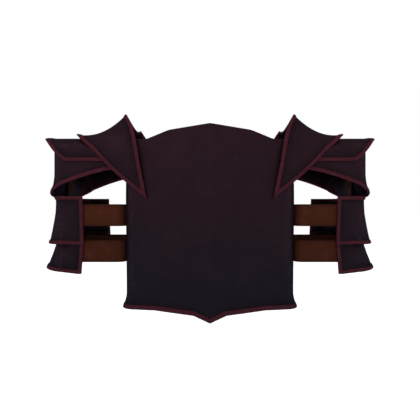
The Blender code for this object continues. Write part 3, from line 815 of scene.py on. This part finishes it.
@dataclass(frozen=True)
class DarkSteel(Metal):
    """Blackened steel: satin, faintly hammered, brushed and scratched, with painted shade beside its bindings
    and on its inner faces.
    """

    slot: str = "dark_steel"
    material: str = "blackened_steel"
    # Painted shade and light: darker low down, lighter high up.
    low_tone: Triple = (0.0108, 0.0083, 0.0127)
    high_tone: Triple = (0.0212, 0.0097, 0.0146)
    worn_tone: Triple = (0.060, 0.043, 0.050)
    # Painted shade beside the bindings and on the inner faces, where shade falls.
    soot_tone: Triple = (0.0060, 0.0048, 0.0070)
    soot: Patches = Patches(Grain(0.018), 0.2, 0.8, 0.55, 0.95)
    scratches: Patches | None = Patches(Grain(0.004, 4.0, (1.0, 1.0, 0.16)), 0.66, 0.80)

    def coat(self, shader: Shader) -> Socket:
        """Lay painted shade over the colour that is painted darker low down, by the painted-shade mark and
        noise.
        """
        soot = shader.times(shader.mark("sooty"), shader.patches(self.soot))
        return shader.blend(soot, self.tone(shader), self.soot_tone)


@dataclass(frozen=True)
class RedBinding(Metal):
    """Dull red binding with a cast grain and dents, rubbed to bare metal along the fold."""

    slot: str = "red_binding"
    material: str = "red_binding_metal"
    # Painted shade and light: darker low down, lighter high up.
    low_tone: Triple = (0.0400, 0.0110, 0.0164)
    high_tone: Triple = (0.0550, 0.0125, 0.0190)
    worn_tone: Triple = (0.085, 0.040, 0.047)
    blotches: Patches = Patches(Grain(0.012, 4.0), 0.35, 0.70, 0.0, 0.35)
    rubbing: Patches = Patches(Grain(0.005, 5.0), 0.48, 0.70)
    rub_share: float = 0.55
    rub_polish: float = 0.12
    roughness: Patches = Patches(Grain(0.010), 0.3, 0.7, 0.52, 0.66)
    lower_relief: Relief = Relief(Grain(0.0014), 0.00015, 0.40)
    upper_relief: Relief = Relief(Grain(0.009, 2.0), 0.0004, 0.25)

    def coat(self, shader: Shader) -> Socket:
        """Lay random blotches of the low colour over the colour that is painted darker low down."""
        return shader.blend(shader.patches(self.blotches), self.tone(shader), self.low_tone)


@dataclass(frozen=True)
class BrownLeather(Finish):
    """Thick vegetable-tanned leather: pebbled grain, creases, darker edges, and painted shade on its inner
    face and on the hanger.
    """

    slot: str = "brown_leather"
    material: str = "brown_leather_hide"
    # Painted shade and light: darker low down, lighter high up.
    low_tone: Triple = (0.0290, 0.0090, 0.0045)
    high_tone: Triple = (0.0546, 0.0128, 0.0070)
    # The colour of the dark furrows, the darker edges and the painted shade.
    worn_tone: Triple = (0.0150, 0.0045, 0.0030)
    pale_tone: Triple = (0.0620, 0.0190, 0.0105)
    blotches: Patches = Patches(Grain(0.022, 5.0), 0.45, 0.75, 0.0, 0.45)
    # Patches of the darkening at the edges and of the painted shade.
    burnish: Patches = Patches(Grain(0.010), 0.2, 0.8, 0.5, 0.9)
    burnish_polish: float = 0.15
    roughness: Patches = Patches(Grain(0.020), 0.3, 0.7, 0.62, 0.76)
    creases: Relief = Relief(Grain(0.012, 4.0, (1.0, 1.0, 0.35)), 0.0006, 0.35)
    pebble_size: float = 0.0016
    pebble_edge: float = 0.35
    pebble_depth: float = 0.00018
    pebble_strength: float = 0.55
    furrow_edge: float = 0.16
    furrow_share: float = 0.40
    gloss: float = 0.02

    def make(self) -> bpy.types.Material:
        """Lay blotches, the pebbles' dark furrows, darker edges and painted shade over the colour that is
        painted darker low down.
        """
        shader = Shader(self.material)
        color = shader.blend(shader.patches(self.blotches), self.tone(shader), self.pale_tone)
        inputs = {"Vector": shader.place, "Scale": 1.0 / self.pebble_size, "Randomness": 1.0}
        cells = shader.add("ShaderNodeTexVoronoi", inputs, feature="DISTANCE_TO_EDGE").outputs["Distance"]
        furrow = shader.spread(cells, 0.0, self.furrow_edge, 1.0, 0.0)
        color = shader.blend(shader.times(furrow, self.furrow_share), color, self.worn_tone)
        # Darker towards the strap's edges, and painted shade on the inner face and on the hanger.
        edge = shader.times(shader.mark("sooty"), shader.patches(self.burnish))
        color = shader.blend(edge, color, self.worn_tone)
        rough = shader.plus(shader.patches(self.roughness), shader.times(edge, -self.burnish_polish))
        raised = shader.spread(cells, 0.0, self.pebble_edge)
        normal = shader.bump(raised, self.pebble_depth, self.pebble_strength, shader.relief(self.creases))
        return shader.finish(base_color=color, roughness=rough, normal=normal, specular_ior_level=self.gloss)


class Dresser:
    """Makes each finish's material once, and dresses the pieces."""

    def __init__(self, finishes: list[Finish]) -> None:
        """Make the materials, kept by their slots."""
        self.materials = {finish.slot: finish.make() for finish in finishes}

    def dress(self, form: Form, node: str, slot: str, hand: Hand = Hand.RIGHT) -> None:
        """Make a piece, give it its finish, and let it stand for its CAD node.

        Args:
            form: the piece's surface.
            node: the CAD node's name.
            slot: the record's material slot.
            hand: the side that the piece is on.
        """
        made = form.make(node + ENDING, hand)
        made.data.materials.append(self.materials[slot])
        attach(made, "root")
        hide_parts(node)
        LOG.info("%s: %d points, %d faces", made.name, len(made.data.vertices), len(made.data.polygons))

    def dress_sheet(self, sheet: Sheet, name: str, hand: Hand | None = None) -> None:
        """Build a plate and its binding from a sheet.

        Args:
            sheet: the plate's middle surface.
            name: the node's name without its side.
            hand: the side that it is on, or None for a piece that stands alone.
        """
        ending = hand.ending if hand else ""
        side = hand or Hand.RIGHT
        self.dress(sheet.plate(), name + ending, "dark_steel", side)
        self.dress(sheet.binding(), f"{name}_border{ending}", "red_binding", side)

    def dress_strap(self, strap: Strap, name: str, hand: Hand) -> None:
        """Build a leather strap."""
        self.dress(strap.form(), name + hand.ending, "brown_leather", hand)


@dataclass
class Torso:
    """Chest and back shells: flat-fronted boxes with rounded corners and deep armholes."""

    flare: float = 0.0065
    flare_forward: float = 0.6
    flare_band: float = 0.028
    flare_power: float = 1.4
    armhole_drop: float = 0.128
    armhole_power: float = 3.0
    face_columns: int = 64
    corner_columns: int = 14
    flank_columns: int = 36
    row_power: float = 0.9
    neck_blur: float = 0.03
    hem_blur: float = 0.01
    depth_blur: float = 0.05
    neck_rows: Rows = table(width=(0.0, 0.48, 0.74, 1.0), rise=(1.0, 0.58, 0.0, 0.0))
    hem_rows: Rows = table(width=(0.0, 0.19, 0.64, 1.0), drop=(1.0, 0.38, 0.0, 0.0))

    def sheet(self, shell: Shell) -> Sheet:
        """Return a shell's sheet, from its top edge down to the hem.

        Across, a column runs over the face, round a quarter circle and along the flank.
        The face bows from the keel at the middle to the setback at the corner. The
        flank's top edge falls from the corner as a superellipse. Both shells flare over
        a band above the hem, by a power.
        """
        radius, flat = BODY.corner_radius, BODY.chest_half_width - BODY.corner_radius
        face = np.linspace(0.0, 1.0, self.face_columns)
        turn = np.linspace(0.0, QUARTER, self.corner_columns + 1)[1:]
        sweep = np.linspace(0.0, QUARTER, self.flank_columns + 1)[1:]
        fall = np.sin(sweep) ** (2 / self.armhole_power)
        along = np.clip(np.cos(sweep), 0.0, 1.0) ** (2 / self.armhole_power)
        flank = along * 0 + BODY.chest_half_width
        reach = np.concatenate([face * flat, flat + radius * np.sin(turn), flank])
        is_face, is_flank = np.zeros(len(reach), bool), np.zeros(len(reach), bool)
        is_face[: len(face)] = is_flank[-len(along):] = True
        share = reach / BODY.chest_half_width
        rise = shell.neck_rise * read_rows(self.neck_rows, "width", "rise", share, self.neck_blur)
        drop = shell.point_drop * read_rows(self.hem_rows, "width", "drop", share, self.hem_blur)
        top, bottom = BODY.shoulder_z + rise, BODY.hem_z - drop
        top[is_flank] -= self.armhole_drop * fall
        z = top + np.linspace(0.0, 1.0, shell.rows)[:, None] ** self.row_power * (bottom - top)
        depths = shell.depth * read_rows(BODY.depth_rows, "height", "depth", z / BODY.hem_z, self.depth_blur)
        flare = self.flare * np.clip(1 - (z - bottom) / self.flare_band, 0.0, 1.0) ** self.flare_power
        center = depths - BODY.corner_setback - radius
        y = center.copy()
        y[:, is_face] = depths[:, is_face] + shell.bow(face)
        y[:, ~is_face & ~is_flank] += radius * np.cos(turn)
        seam = STOCK.clearance / 2
        y[:, is_flank] = seam + (center[:, is_flank] - seam) * along
        y += flare * self.flare_forward * np.clip(y / depths, 0.0, 1.0)
        x = reach + flare * np.clip((reach - flat) / radius, 0.0, 1.0)
        half = np.stack([x, shell.facing * y, z], axis=-1)
        grid = np.concatenate([half[:, :0:-1] * (-1, 1, 1), half], axis=1)
        return Sheet(grid[:, ::-shell.facing], (Side.LAST,), width=STOCK.hem_width)

    def build(self, dresser: Dresser) -> None:
        """Build both shells and their hem bindings."""
        for shell in (CHEST, BACK):
            dresser.dress_sheet(self.sheet(shell), shell.name)


@dataclass
class Plan:
    """A wall's plan round the arm: places, the way outward, and shares along and around."""

    x: np.ndarray
    y: np.ndarray
    out_x: np.ndarray
    out_y: np.ndarray
    along: np.ndarray
    around: np.ndarray


@dataclass
class ArmBox:
    """The rounded box round an arm that the cap's lower lame and the guards follow."""

    corner_radius: float = 0.018
    inner_flare: float = 0.2
    flare_power: float = 2.0
    face_columns: int = 30
    corner_columns: int = 14
    side_columns: int = 26

    def plan(self, inner_x: float, outer_x: float, half_depth: float) -> Plan:
        """Return the plan from the front inner edge, round the outer side, to the back inner edge.

        The front half is a straight face, a quarter circle and half of the outer side,
        and the back half mirrors it.

        Args:
            inner_x: where the face starts.
            outer_x: where the outer side is.
            half_depth: from the mid-plane to the face.
        """
        radius, flat = self.corner_radius, outer_x - self.corner_radius
        start = radius - half_depth
        face = np.linspace(0.0, 1.0, self.face_columns)
        turn = np.linspace(0.0, QUARTER, self.corner_columns + 1)[1:]
        side = np.linspace(0.0, 1.0, self.side_columns + 1)[1:]
        columns = [
            (inner_x + (flat - inner_x) * face, flat + radius * np.sin(turn), side * 0 + outer_x),
            (face * 0 - half_depth, start - radius * np.cos(turn), start * (1 - side)),
            (face * 0, np.sin(turn), side * 0 + 1),
            (face * 0 - 1, -np.cos(turn), side * 0),
            (face, turn * 0 + 1, side * 0 + 1),
            (face * 0, turn / math.pi, 0.5 + 0.5 * side),
        ]
        signs = (1, -1, 1, -1, 1, 1)
        front = [np.concatenate(parts) for parts in columns]
        return Plan(*(np.concatenate([values, sign * values[-2::-1]]) for values, sign in zip(front, signs)))

    def flares(self, full: float, rows: Rows, count: int, blur: float) -> np.ndarray:
        """Return how far out each of a wall's rows flares: the full flare times the table's share."""
        return full * read_rows(rows, "height", "flare", np.linspace(0.0, 1.0, count), blur)

    def wall(
        self, plan: Plan, top: Values, bottom: Values, flare: np.ndarray, shift: float = 0.0
    ) -> np.ndarray:
        """Hang a wall on a plan.

        A point lies a share of the way from top to bottom, moved outward by its row's
        flare, which is less towards the inner edge by a power of the share along.

        Args:
            plan: the plan to hang it on.
            top: height of the top edge, one or one for each column.
            bottom: height of the bottom edge, one or one for each column.
            flare: outward offset of each row.
            shift: how far the inner edge moves in x on the way down.

        Returns:
            The wall's grid of points.
        """
        share = np.linspace(0.0, 1.0, len(flare))[:, None]
        z = np.broadcast_to(top + share * (bottom - top), (len(flare), len(plan.x)))
        offset = flare[:, None] * (self.inner_flare + (1 - self.inner_flare) * plan.along ** self.flare_power)
        x = plan.x + plan.out_x * offset + shift * share * (1 - plan.along)
        return np.stack([x, plan.y + plan.out_y * offset, z], axis=-1)


@dataclass
class Guard:
    """The arm guard: two flared lames, the lower one tucked under the upper."""

    box: ArmBox = field(default_factory=ArmBox)
    face_width: float = 0.058
    split_z: float = -0.2115
    split_drop: float = 0.0027
    lap: float = 0.013
    bottom_z: float = -0.259
    bottom_rise: float = 0.0132
    edge_shift: float = 0.0036
    upper_flare: float = 0.0132
    lower_flare: float = 0.0190
    lower_inset: float = 0.0035
    upper_count: int = 48
    lower_count: int = 40
    upper_blur: float = 0.05
    lower_blur: float = 0.06
    edge_blur: float = 0.05
    upper_rows: Rows = table(
        height=(0.0, 0.08, 0.34, 0.56, 0.76, 0.92, 1.0),
        flare=(0.25, 0.0, 0.06, 0.30, 0.56, 0.80, 1.0),
    )
    lower_rows: Rows = table(height=(0.0, 0.22, 0.52, 0.86, 1.0), flare=(0.0, 0.04, 0.34, 0.76, 1.0))
    bottom_rows: Rows = table(
        across=(0.0, 0.22, 0.67, 1.0, 1.5, 2.0), drop=(1.0, 1.0, 0.74, 0.48, 0.0, 0.0)
    )

    def upper(self) -> Sheet:
        """Return the upper lame: bound all round, its lower edge a little lower inward."""
        inner_x = BODY.guard_outer_x - self.face_width
        plan = self.box.plan(inner_x, BODY.guard_outer_x, BODY.arm_half_depth)
        flare = self.box.flares(self.upper_flare, self.upper_rows, self.upper_count, self.upper_blur)
        bottom = self.split_z - self.split_drop * (1 - plan.along)
        return Sheet(self.box.wall(plan, BODY.guard_top_z, bottom, flare, -self.edge_shift), tuple(Side))

    def lower(self) -> Sheet:
        """Return the lower lame: its bottom edge falls from the outer corner to the inner edge."""
        inner_x = BODY.guard_outer_x - self.face_width - self.edge_shift / 2
        plan = self.box.plan(inner_x, BODY.guard_outer_x, BODY.arm_half_depth - self.lower_inset)
        flare = self.box.flares(self.lower_flare, self.lower_rows, self.lower_count, self.lower_blur)
        drop = read_rows(self.bottom_rows, "across", "drop", plan.along + plan.around, self.edge_blur)
        bottom = self.bottom_z - self.bottom_rise * drop
        grid = self.box.wall(plan, self.split_z + self.lap, bottom, flare, self.edge_shift)
        return Sheet(grid, (Side.RIGHT, Side.LAST, Side.LEFT))

    def build(self, dresser: Dresser, hand: Hand) -> None:
        """Build both lames and their bindings."""
        dresser.dress_sheet(self.upper(), "guard_upper", hand)
        dresser.dress_sheet(self.lower(), "guard_lower", hand)


@dataclass
class Cap:
    """The shoulder cap: an arched upper lame with two spikes over a boxy lower one."""

    box: ArmBox = field(default_factory=ArmBox)
    skirt_chest_gap: float = 0.012
    skirt_top_front_z: float = -0.022
    skirt_top_side_z: float = -0.005
    skirt_edge_start_z: float = -0.0615
    skirt_edge_fall: float = 0.0335
    skirt_edge_power: float = 1.5
    skirt_side_start: float = 0.6
    skirt_side_power: float = 0.8
    skirt_flare: float = 0.0075
    skirt_overlap: float = 0.003
    chest_gap: float = 0.008
    overhang: float = 0.0037
    spike: float = 0.0144
    spike_power: float = 3.0
    spike_angle: float = math.radians(25)
    top_z: float = 0.0017
    dome: float = 0.0033
    corner_radius: float = 0.025
    leg_z: float = -0.0468
    leg_turn_inset: float = 0.0335
    leg_power: float = 1.45
    rows: int = 72
    columns: int = 131
    skirt_count: int = 44
    skirt_blur: float = 0.06
    skirt_rows: Rows = table(height=(0.0, 0.64, 0.8, 1.0), flare=(0.0, 0.0, 0.25, 1.0))

    @property
    def half_depth(self) -> float:
        """From the mid-plane to the upper lame's legs, clear of the lower lame."""
        return BODY.arm_half_depth + STOCK.steel / 2 + STOCK.clearance + STOCK.half_binding

    def lower(self) -> Sheet:
        """Return the lower lame.

        Its edge falls along the face by a power of the share along, then comes round
        the corner to just below the guard's top by a power of the share around.
        """
        inner_x = BODY.chest_half_width + self.skirt_chest_gap
        plan = self.box.plan(inner_x, BODY.skirt_outer_x, BODY.arm_half_depth)
        turn = np.clip(plan.around / self.skirt_side_start, 0.0, 1.0)
        rest = BODY.guard_top_z - self.skirt_overlap - (self.skirt_edge_start_z - self.skirt_edge_fall)
        bottom = self.skirt_edge_start_z - self.skirt_edge_fall * plan.along ** self.skirt_edge_power
        bottom = bottom + rest * turn ** self.skirt_side_power
        top = self.skirt_top_front_z + (self.skirt_top_side_z - self.skirt_top_front_z) * turn
        flare = self.box.flares(self.skirt_flare, self.skirt_rows, self.skirt_count, self.skirt_blur)
        return Sheet(self.box.wall(plan, top, bottom, flare), (Side.LAST,))

    def arch(self, length: np.ndarray) -> tuple[np.ndarray, np.ndarray]:
        """Return y and z at a length from the arch's middle.

        The arch is a parabolic dome, a quarter circle and a straight leg.
        """
        flat = self.half_depth - self.corner_radius
        turn = np.clip((np.abs(length) - flat) / self.corner_radius, 0.0, QUARTER)
        leg = np.maximum(np.abs(length) - flat - self.corner_radius * QUARTER, 0.0)
        across = np.minimum(np.abs(length), flat)
        y = across + self.corner_radius * np.sin(turn)
        dome = self.dome * (1 - (across / flat) ** 2)
        return np.sign(length) * y, self.top_z + dome - self.corner_radius * (1 - np.cos(turn)) - leg

    def upper(self) -> Sheet:
        """Return the upper lame.

        A row is an arch across the arm. Past the legs' turn they shorten by a power of
        the share until only the dome and a spike at each end are left. The outer edge
        sweeps out to the spikes by a power of the share along the arch.
        """
        flat = self.half_depth - self.corner_radius
        full = flat + self.corner_radius * QUARTER + self.top_z - self.corner_radius - self.leg_z
        short = flat + self.corner_radius * self.spike_angle
        inner_x = BODY.chest_half_width + self.chest_gap
        outer_x = BODY.skirt_outer_x + self.overhang
        turn_share = (outer_x - self.leg_turn_inset - inner_x) / (outer_x + self.spike - inner_x)
        share = np.linspace(0.0, 1.0, self.rows)[:, None]
        past = np.clip((share - turn_share) / (1 - turn_share), 0.0, 1.0)
        spread = np.linspace(-1.0, 1.0, self.columns)
        y, z = self.arch((full - (full - short) * past ** self.leg_power) * spread)
        x = inner_x + share * (outer_x + self.spike * np.abs(spread) ** self.spike_power - inner_x)
        return Sheet(np.stack([x, y, z], axis=-1), (Side.RIGHT, Side.LAST, Side.LEFT))

    def build(self, dresser: Dresser, hand: Hand) -> None:
        """Build both lames and their bindings."""
        dresser.dress_sheet(self.upper(), "cap_upper", hand)
        dresser.dress_sheet(self.lower(), "cap_lower", hand)


@dataclass
class Wing:
    """The wing over the shoulder: a hollow leaf from the chest up to a spike, over and down the back.

    Its tip is an offset from the chest's face, its spike and corner from the arm box's
    face, and its crest from the mid-plane, each measured at the chest's side.
    """

    cap: Cap
    tip: Triple = (-0.0466, -0.003, -0.1222)
    spike: Triple = (0.0012, 0.017, 0.0515)
    corner: Triple = (0.0944, -0.008, 0.0052)
    crest: Triple = (-0.0036, 0.0, 0.035)
    rest_out: float = 0.0984
    fold_sag: float = 0.016
    mid_sag: float = 0.007
    rise_power: float = 1.5
    bow_power: float = 2.0
    lift_power: float = 3.0
    face_rows: int = 72
    top_rows: int = 40
    columns: int = 45
    rows: Rows = table(
        inner_x=(0.0, 0.070, 0.283, 0.409, 0.585, 0.764, 1.0),
        inner_y=(0.0, 0.007, 0.030, 0.120, 0.405, 0.700, 1.0),
        inner_z=(0.0, 0.096, 0.385, 0.578, 0.768, 0.891, 1.0),
        outer_x=(0.0, 0.110, 0.430, 0.622, 0.788, 0.909, 1.0),
        outer_y=(0.0, 0.120, 0.550, 0.870, 0.930, 0.960, 1.0),
        outer_z=(0.0, 0.092, 0.379, 0.579, 0.772, 0.886, 1.0),
        sag=(0.0, 0.0, 0.04, 0.10, 0.25, 0.55, 1.0),
    )

    def sheet(self) -> Sheet:
        """Return the wing's sheet.

        A row joins a point of the inner edge to one of the outer edge and sags between
        them as a parabola. In front the two edges are smooth curves through the table's
        rows, which hold shares of the way from the tip to the spike and to the outer
        corner. Over the top they go from there to the crest and the rest on the cap, by
        powers of the share of the way back. The back mirrors the front.
        """
        side = BODY.chest_half_width
        rest_z = self.cap.arch(np.array(0.0))[1] + STOCK.steel / 2 + STOCK.clearance + STOCK.half_binding
        tip = np.array(self.tip) + (side, -CHEST.depth, 0.0)
        face = (side, -BODY.arm_half_depth, 0.0)
        spike, corner = np.array(self.spike) + face, np.array(self.corner) + face
        crest, rest = np.array(self.crest) + (side, 0.0, 0.0), np.array((side + self.rest_out, 0.0, rest_z))
        place = np.linspace(0.0, len(self.rows["sag"]) - 1.0, self.face_rows)
        table = smooth_rows(np.column_stack(list(self.rows.values())), place)
        inner = tip + table[:, 0:3] * (spike - tip)
        outer = tip + table[:, 3:6] * (corner - tip)
        sag = self.fold_sag * np.maximum(table[:, 6], 0.0)
        share = np.linspace(1.0, 0.0, self.top_rows)[1:, None]
        rise = share ** self.rise_power
        inner_top = crest + (spike - crest) * np.hstack([rise, share, rise])
        bow, lift = share ** self.bow_power, share ** self.lift_power
        outer_top = rest + (corner - rest) * np.hstack([bow, share, lift])
        sag_top = self.mid_sag + (self.fold_sag - self.mid_sag) * rise[:, 0]
        inner, outer = np.concatenate([inner, inner_top]), np.concatenate([outer, outer_top])
        across = np.linspace(0.0, 1.0, self.columns)
        front = inner[:, None] + across[:, None] * (outer - inner)[:, None]
        front[:, :, 2] -= 4 * np.concatenate([sag, sag_top])[:, None] * across * (1 - across)
        grid = np.concatenate([front, front[-2::-1] * (1, -1, 1)])
        return Sheet(grid[:, ::-1], (Side.RIGHT, Side.LEFT), tipped=True)

    def build(self, dresser: Dresser, hand: Hand) -> None:
        """Build the wing and its binding."""
        dresser.dress_sheet(self.sheet(), "wing", hand)


@dataclass
class ArmBands:
    """The two leather bands round the arm and the strip that hangs them from the cap."""

    lower_inset: float
    height: float = 0.0442
    tops_z: tuple[float, float] = (-0.1323, -0.2053)
    corner_radius: float = 0.017
    corner_steps: int = 13
    run_steps: int = 26
    hanger_width: float = 0.036
    hanger_top_z: float = -0.030
    bend_rise: float = 0.006
    bend_drop: float = 0.0121
    hanger_steps: int = 90
    # The hanger sits inside the cap and is darkened all over: painted shade.
    hanger_soil: float = 1.0

    def band(self, top_z: float, inset: float) -> Strap:
        """Return a band: a rounded rectangle of four straight runs and four quarter circles.

        Args:
            top_z: height of its upper edge.
            inset: how much shallower than the arm box it is.
        """
        half_depth = BODY.arm_half_depth - inset - STOCK.half_binding - STOCK.clearance - STOCK.leather / 2
        low = BODY.chest_half_width + STOCK.inside + self.corner_radius
        high = BODY.guard_outer_x - STOCK.inside - self.corner_radius
        deep = half_depth - self.corner_radius
        corners = corner_arcs((low, -deep), (high, deep), self.corner_radius, self.corner_steps)
        between = np.linspace(0.0, 1.0, self.run_steps)[1:-1, None]
        neighbors = zip(corners, corners[1:] + corners[:1])
        runs = [here[-1] + between * (after[0] - here[-1]) for here, after in neighbors]
        ring = np.concatenate([part for pair in zip(corners, runs) for part in pair])
        path = np.column_stack([ring, np.full(len(ring), top_z - self.height / 2)])
        return Strap(path, Z_WAY, self.height, closed=True)

    def hanger(self) -> Strap:
        """Return the strip inside the cap and the bands, with a smooth step between the two."""
        band_x = BODY.guard_outer_x - STOCK.inside - STOCK.leather - STOCK.clearance
        cap_x = BODY.skirt_outer_x - STOCK.inside
        z = np.linspace(self.hanger_top_z, self.tops_z[1] - self.height, self.hanger_steps)
        low = BODY.guard_top_z - self.bend_drop
        share = np.clip((z - low) / (self.bend_rise + self.bend_drop), 0.0, 1.0)
        x = band_x + (cap_x - band_x) * share * share * (3 - 2 * share)
        path = np.column_stack([x, z * 0, z])
        # The whole hanger is darkened as painted shade.
        return Strap(path, Y_WAY, self.hanger_width, soil=self.hanger_soil)

    def build(self, dresser: Dresser, hand: Hand) -> None:
        """Build the bands and the hanger."""
        for name, top_z, inset in zip(("strap_upper", "strap_lower"), self.tops_z, (0.0, self.lower_inset)):
            dresser.dress_strap(self.band(top_z, inset), name, hand)
        dresser.dress_strap(self.hanger(), "arm_leather", hand)


@dataclass
class Harness:
    """The leather that joins the shells and the cap out of sight."""

    cap: Cap
    strap_width: float = 0.044
    strap_inset: float = 0.026
    strap_end_z: float = -0.060
    strap_bend: float = 0.028
    strap_fall: float = 0.0246
    strap_steps: int = 121
    flank_length: float = 0.090
    flank_width: float = 0.040
    flank_rise: float = 0.037
    tab_inset: float = 0.064
    tab_reach: float = 0.047
    tab_width: float = 0.030
    tab_drop: float = 0.0007
    flat_steps: int = 40
    strap_rows: Rows = table(inward=(0.11, 0.36, 1.0), fall=(1.0, 0.47, 0.05))

    @property
    def tab_top(self) -> float:
        """Height of the tab's upper face, under the cap."""
        return float(self.cap.arch(np.array(self.tab_width / 2))[1]) - STOCK.steel / 2 - self.tab_drop

    def inner_face(self, shell: Shell, x: float, z: float) -> float:
        """Return how far out in y the inside of a shell lies at a place on its face."""
        rows, share = BODY.depth_rows, x / (BODY.chest_half_width - BODY.corner_radius)
        face = shell.depth * np.interp(z / BODY.hem_z, rows["height"], rows["depth"])
        return face + shell.bow(share) - STOCK.steel / 2

    def over_shoulder(self) -> Strap:
        """Return the strap from the chest's inside, over the shoulder, to the back's inside.

        Its path is a smooth curve through the table's rows of one leg, the crown and the
        other leg.
        """
        clear = STOCK.clearance + STOCK.leather / 2
        far = BODY.chest_half_width - self.strap_inset
        crown = self.tab_top - STOCK.leather - clear
        bends = np.array(self.strap_rows["inward"]) * self.strap_bend
        falls = np.array(self.strap_rows["fall"]) * self.strap_fall
        legs = []
        for shell in (CHEST, BACK):
            ends = self.strap_end_z, BODY.shoulder_z
            foot, end = (self.inner_face(shell, far, z) - clear for z in ends)
            leg = np.vstack([(foot, self.strap_end_z), np.column_stack([end - bends, crown - falls])])
            legs.append(leg * (shell.facing, 1))
        points = np.vstack([legs[0], (0.0, crown), legs[1][::-1]])
        curve = smooth_rows(points, np.linspace(0.0, len(points) - 1.0, self.strap_steps))
        curve[:, 1] = np.minimum(curve[:, 1], crown)
        path = np.column_stack([np.full(len(curve), far - self.strap_width / 2), curve])
        return Strap(path, X_WAY, self.strap_width)

    def tab(self) -> Strap:
        """Return the flat tab that carries the cap."""
        x = BODY.chest_half_width + np.linspace(-self.tab_inset, self.tab_reach, self.flat_steps)
        path = np.column_stack([x, x * 0, x * 0 + self.tab_top - STOCK.leather / 2])
        return Strap(path, Y_WAY, self.tab_width)

    def flank(self) -> Strap:
        """Return the strip inside the flank that joins the shells."""
        y = np.linspace(-self.flank_length / 2, self.flank_length / 2, self.flat_steps)
        z = BODY.hem_z + self.flank_rise + self.flank_width / 2
        path = np.column_stack([y * 0 + BODY.chest_half_width - STOCK.inside, y, y * 0 + z])
        return Strap(path, Z_WAY, self.flank_width)

    def build(self, dresser: Dresser, hand: Hand) -> None:
        """Build the shoulder strap, the tab and the flank strap."""
        dresser.dress_strap(self.over_shoulder(), "shoulder_strap", hand)
        dresser.dress_strap(self.tab(), "shoulder_tab", hand)
        dresser.dress_strap(self.flank(), "flank_strap", hand)


@dataclass
class Lamp:
    """A soft square light that faces the object's middle."""

    name: str
    place: Triple
    size: float
    watts: float
    tint: Triple
    target: Triple = (0.0, 0.0, -0.12)

    def build(self) -> None:
        """Add the light."""
        data = bpy.data.lights.new(self.name, "AREA")
        data.energy, data.size, data.color = self.watts, self.size, self.tint
        lamp = bpy.data.objects.new(self.name, data)
        lamp.location = self.place
        way = Vector(self.target) - Vector(self.place)
        lamp.rotation_euler = way.to_track_quat("-Z", "Y").to_euler()
        bpy.context.scene.collection.objects.link(lamp)


@dataclass
class Studio:
    """Pale floor, soft lights and the camera at the photograph's angle."""

    camera_place: Triple = (0.0, -0.825, -0.144)
    lens: float = 31.2
    floor_z: float = -0.75
    floor_half: float = 6.0
    floor_tone: Triple = (0.9, 0.9, 0.9)
    floor_roughness: float = 0.9
    floor_glow: float = 0.3
    fill_tint: Triple = (0.85, 0.93, 1.0)
    world_tone: Triple = (1.0, 1.0, 1.0)

    def lamps(self) -> list[Lamp]:
        """Return the key light above the front and a cool fill on each side."""
        lamps = [Lamp("key", (-0.35, -1.7, 1.6), size=1.6, watts=10.0, tint=(1.0, 0.95, 0.96))]
        for hand in Hand:
            place = (hand.value * 2.0, -0.5, 0.3)
            lamps.append(Lamp(f"fill{hand.ending}", place, size=1.2, watts=4.0, tint=self.fill_tint))
        return lamps

    def build(self) -> None:
        """Add the floor, the world, the lights and the camera."""
        half, signs = self.floor_half, ((-1, -1), (1, -1), (1, 1), (-1, 1))
        corners = [(x * half, y * half, self.floor_z) for x, y in signs]
        mesh = bpy.data.meshes.new("floor")
        mesh.from_pydata(corners, [], [(0, 1, 2, 3)])
        floor = bpy.data.objects.new("floor", mesh)
        bpy.context.scene.collection.objects.link(floor)
        shader = Shader("pale_floor")
        mesh.materials.append(shader.finish(
            base_color=self.floor_tone, roughness=self.floor_roughness,
            emission_color=self.floor_tone, emission_strength=self.floor_glow,
        ))
        world = bpy.data.worlds.new("studio")
        bpy.context.scene.world = world
        world.use_nodes = True
        world.node_tree.nodes["Background"].inputs["Color"].default_value = (*self.world_tone, 1.0)
        for lamp in self.lamps():
            lamp.build()
        camera = bpy.data.objects.new("camera", bpy.data.cameras.new("camera"))
        camera.data.lens = self.lens
        camera.location = self.camera_place
        camera.rotation_euler = (QUARTER, 0.0, 0.0)
        bpy.context.scene.collection.objects.link(camera)
        bpy.context.scene.camera = camera
        bpy.context.scene.view_settings.view_transform = "Standard"


def main() -> None:
    """Build the object piece by piece, then the studio."""
    logging.basicConfig(level=logging.INFO, format="%(message)s")
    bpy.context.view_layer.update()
    dresser = Dresser([DarkSteel(), RedBinding(), BrownLeather()])
    cap, guard = Cap(), Guard()
    Torso().build(dresser)
    for hand in Hand:
        for part in (Wing(cap), cap, guard, ArmBands(guard.lower_inset), Harness(cap)):
            part.build(dresser, hand)
    Studio().build()


if __name__ == "__main__":
    main()
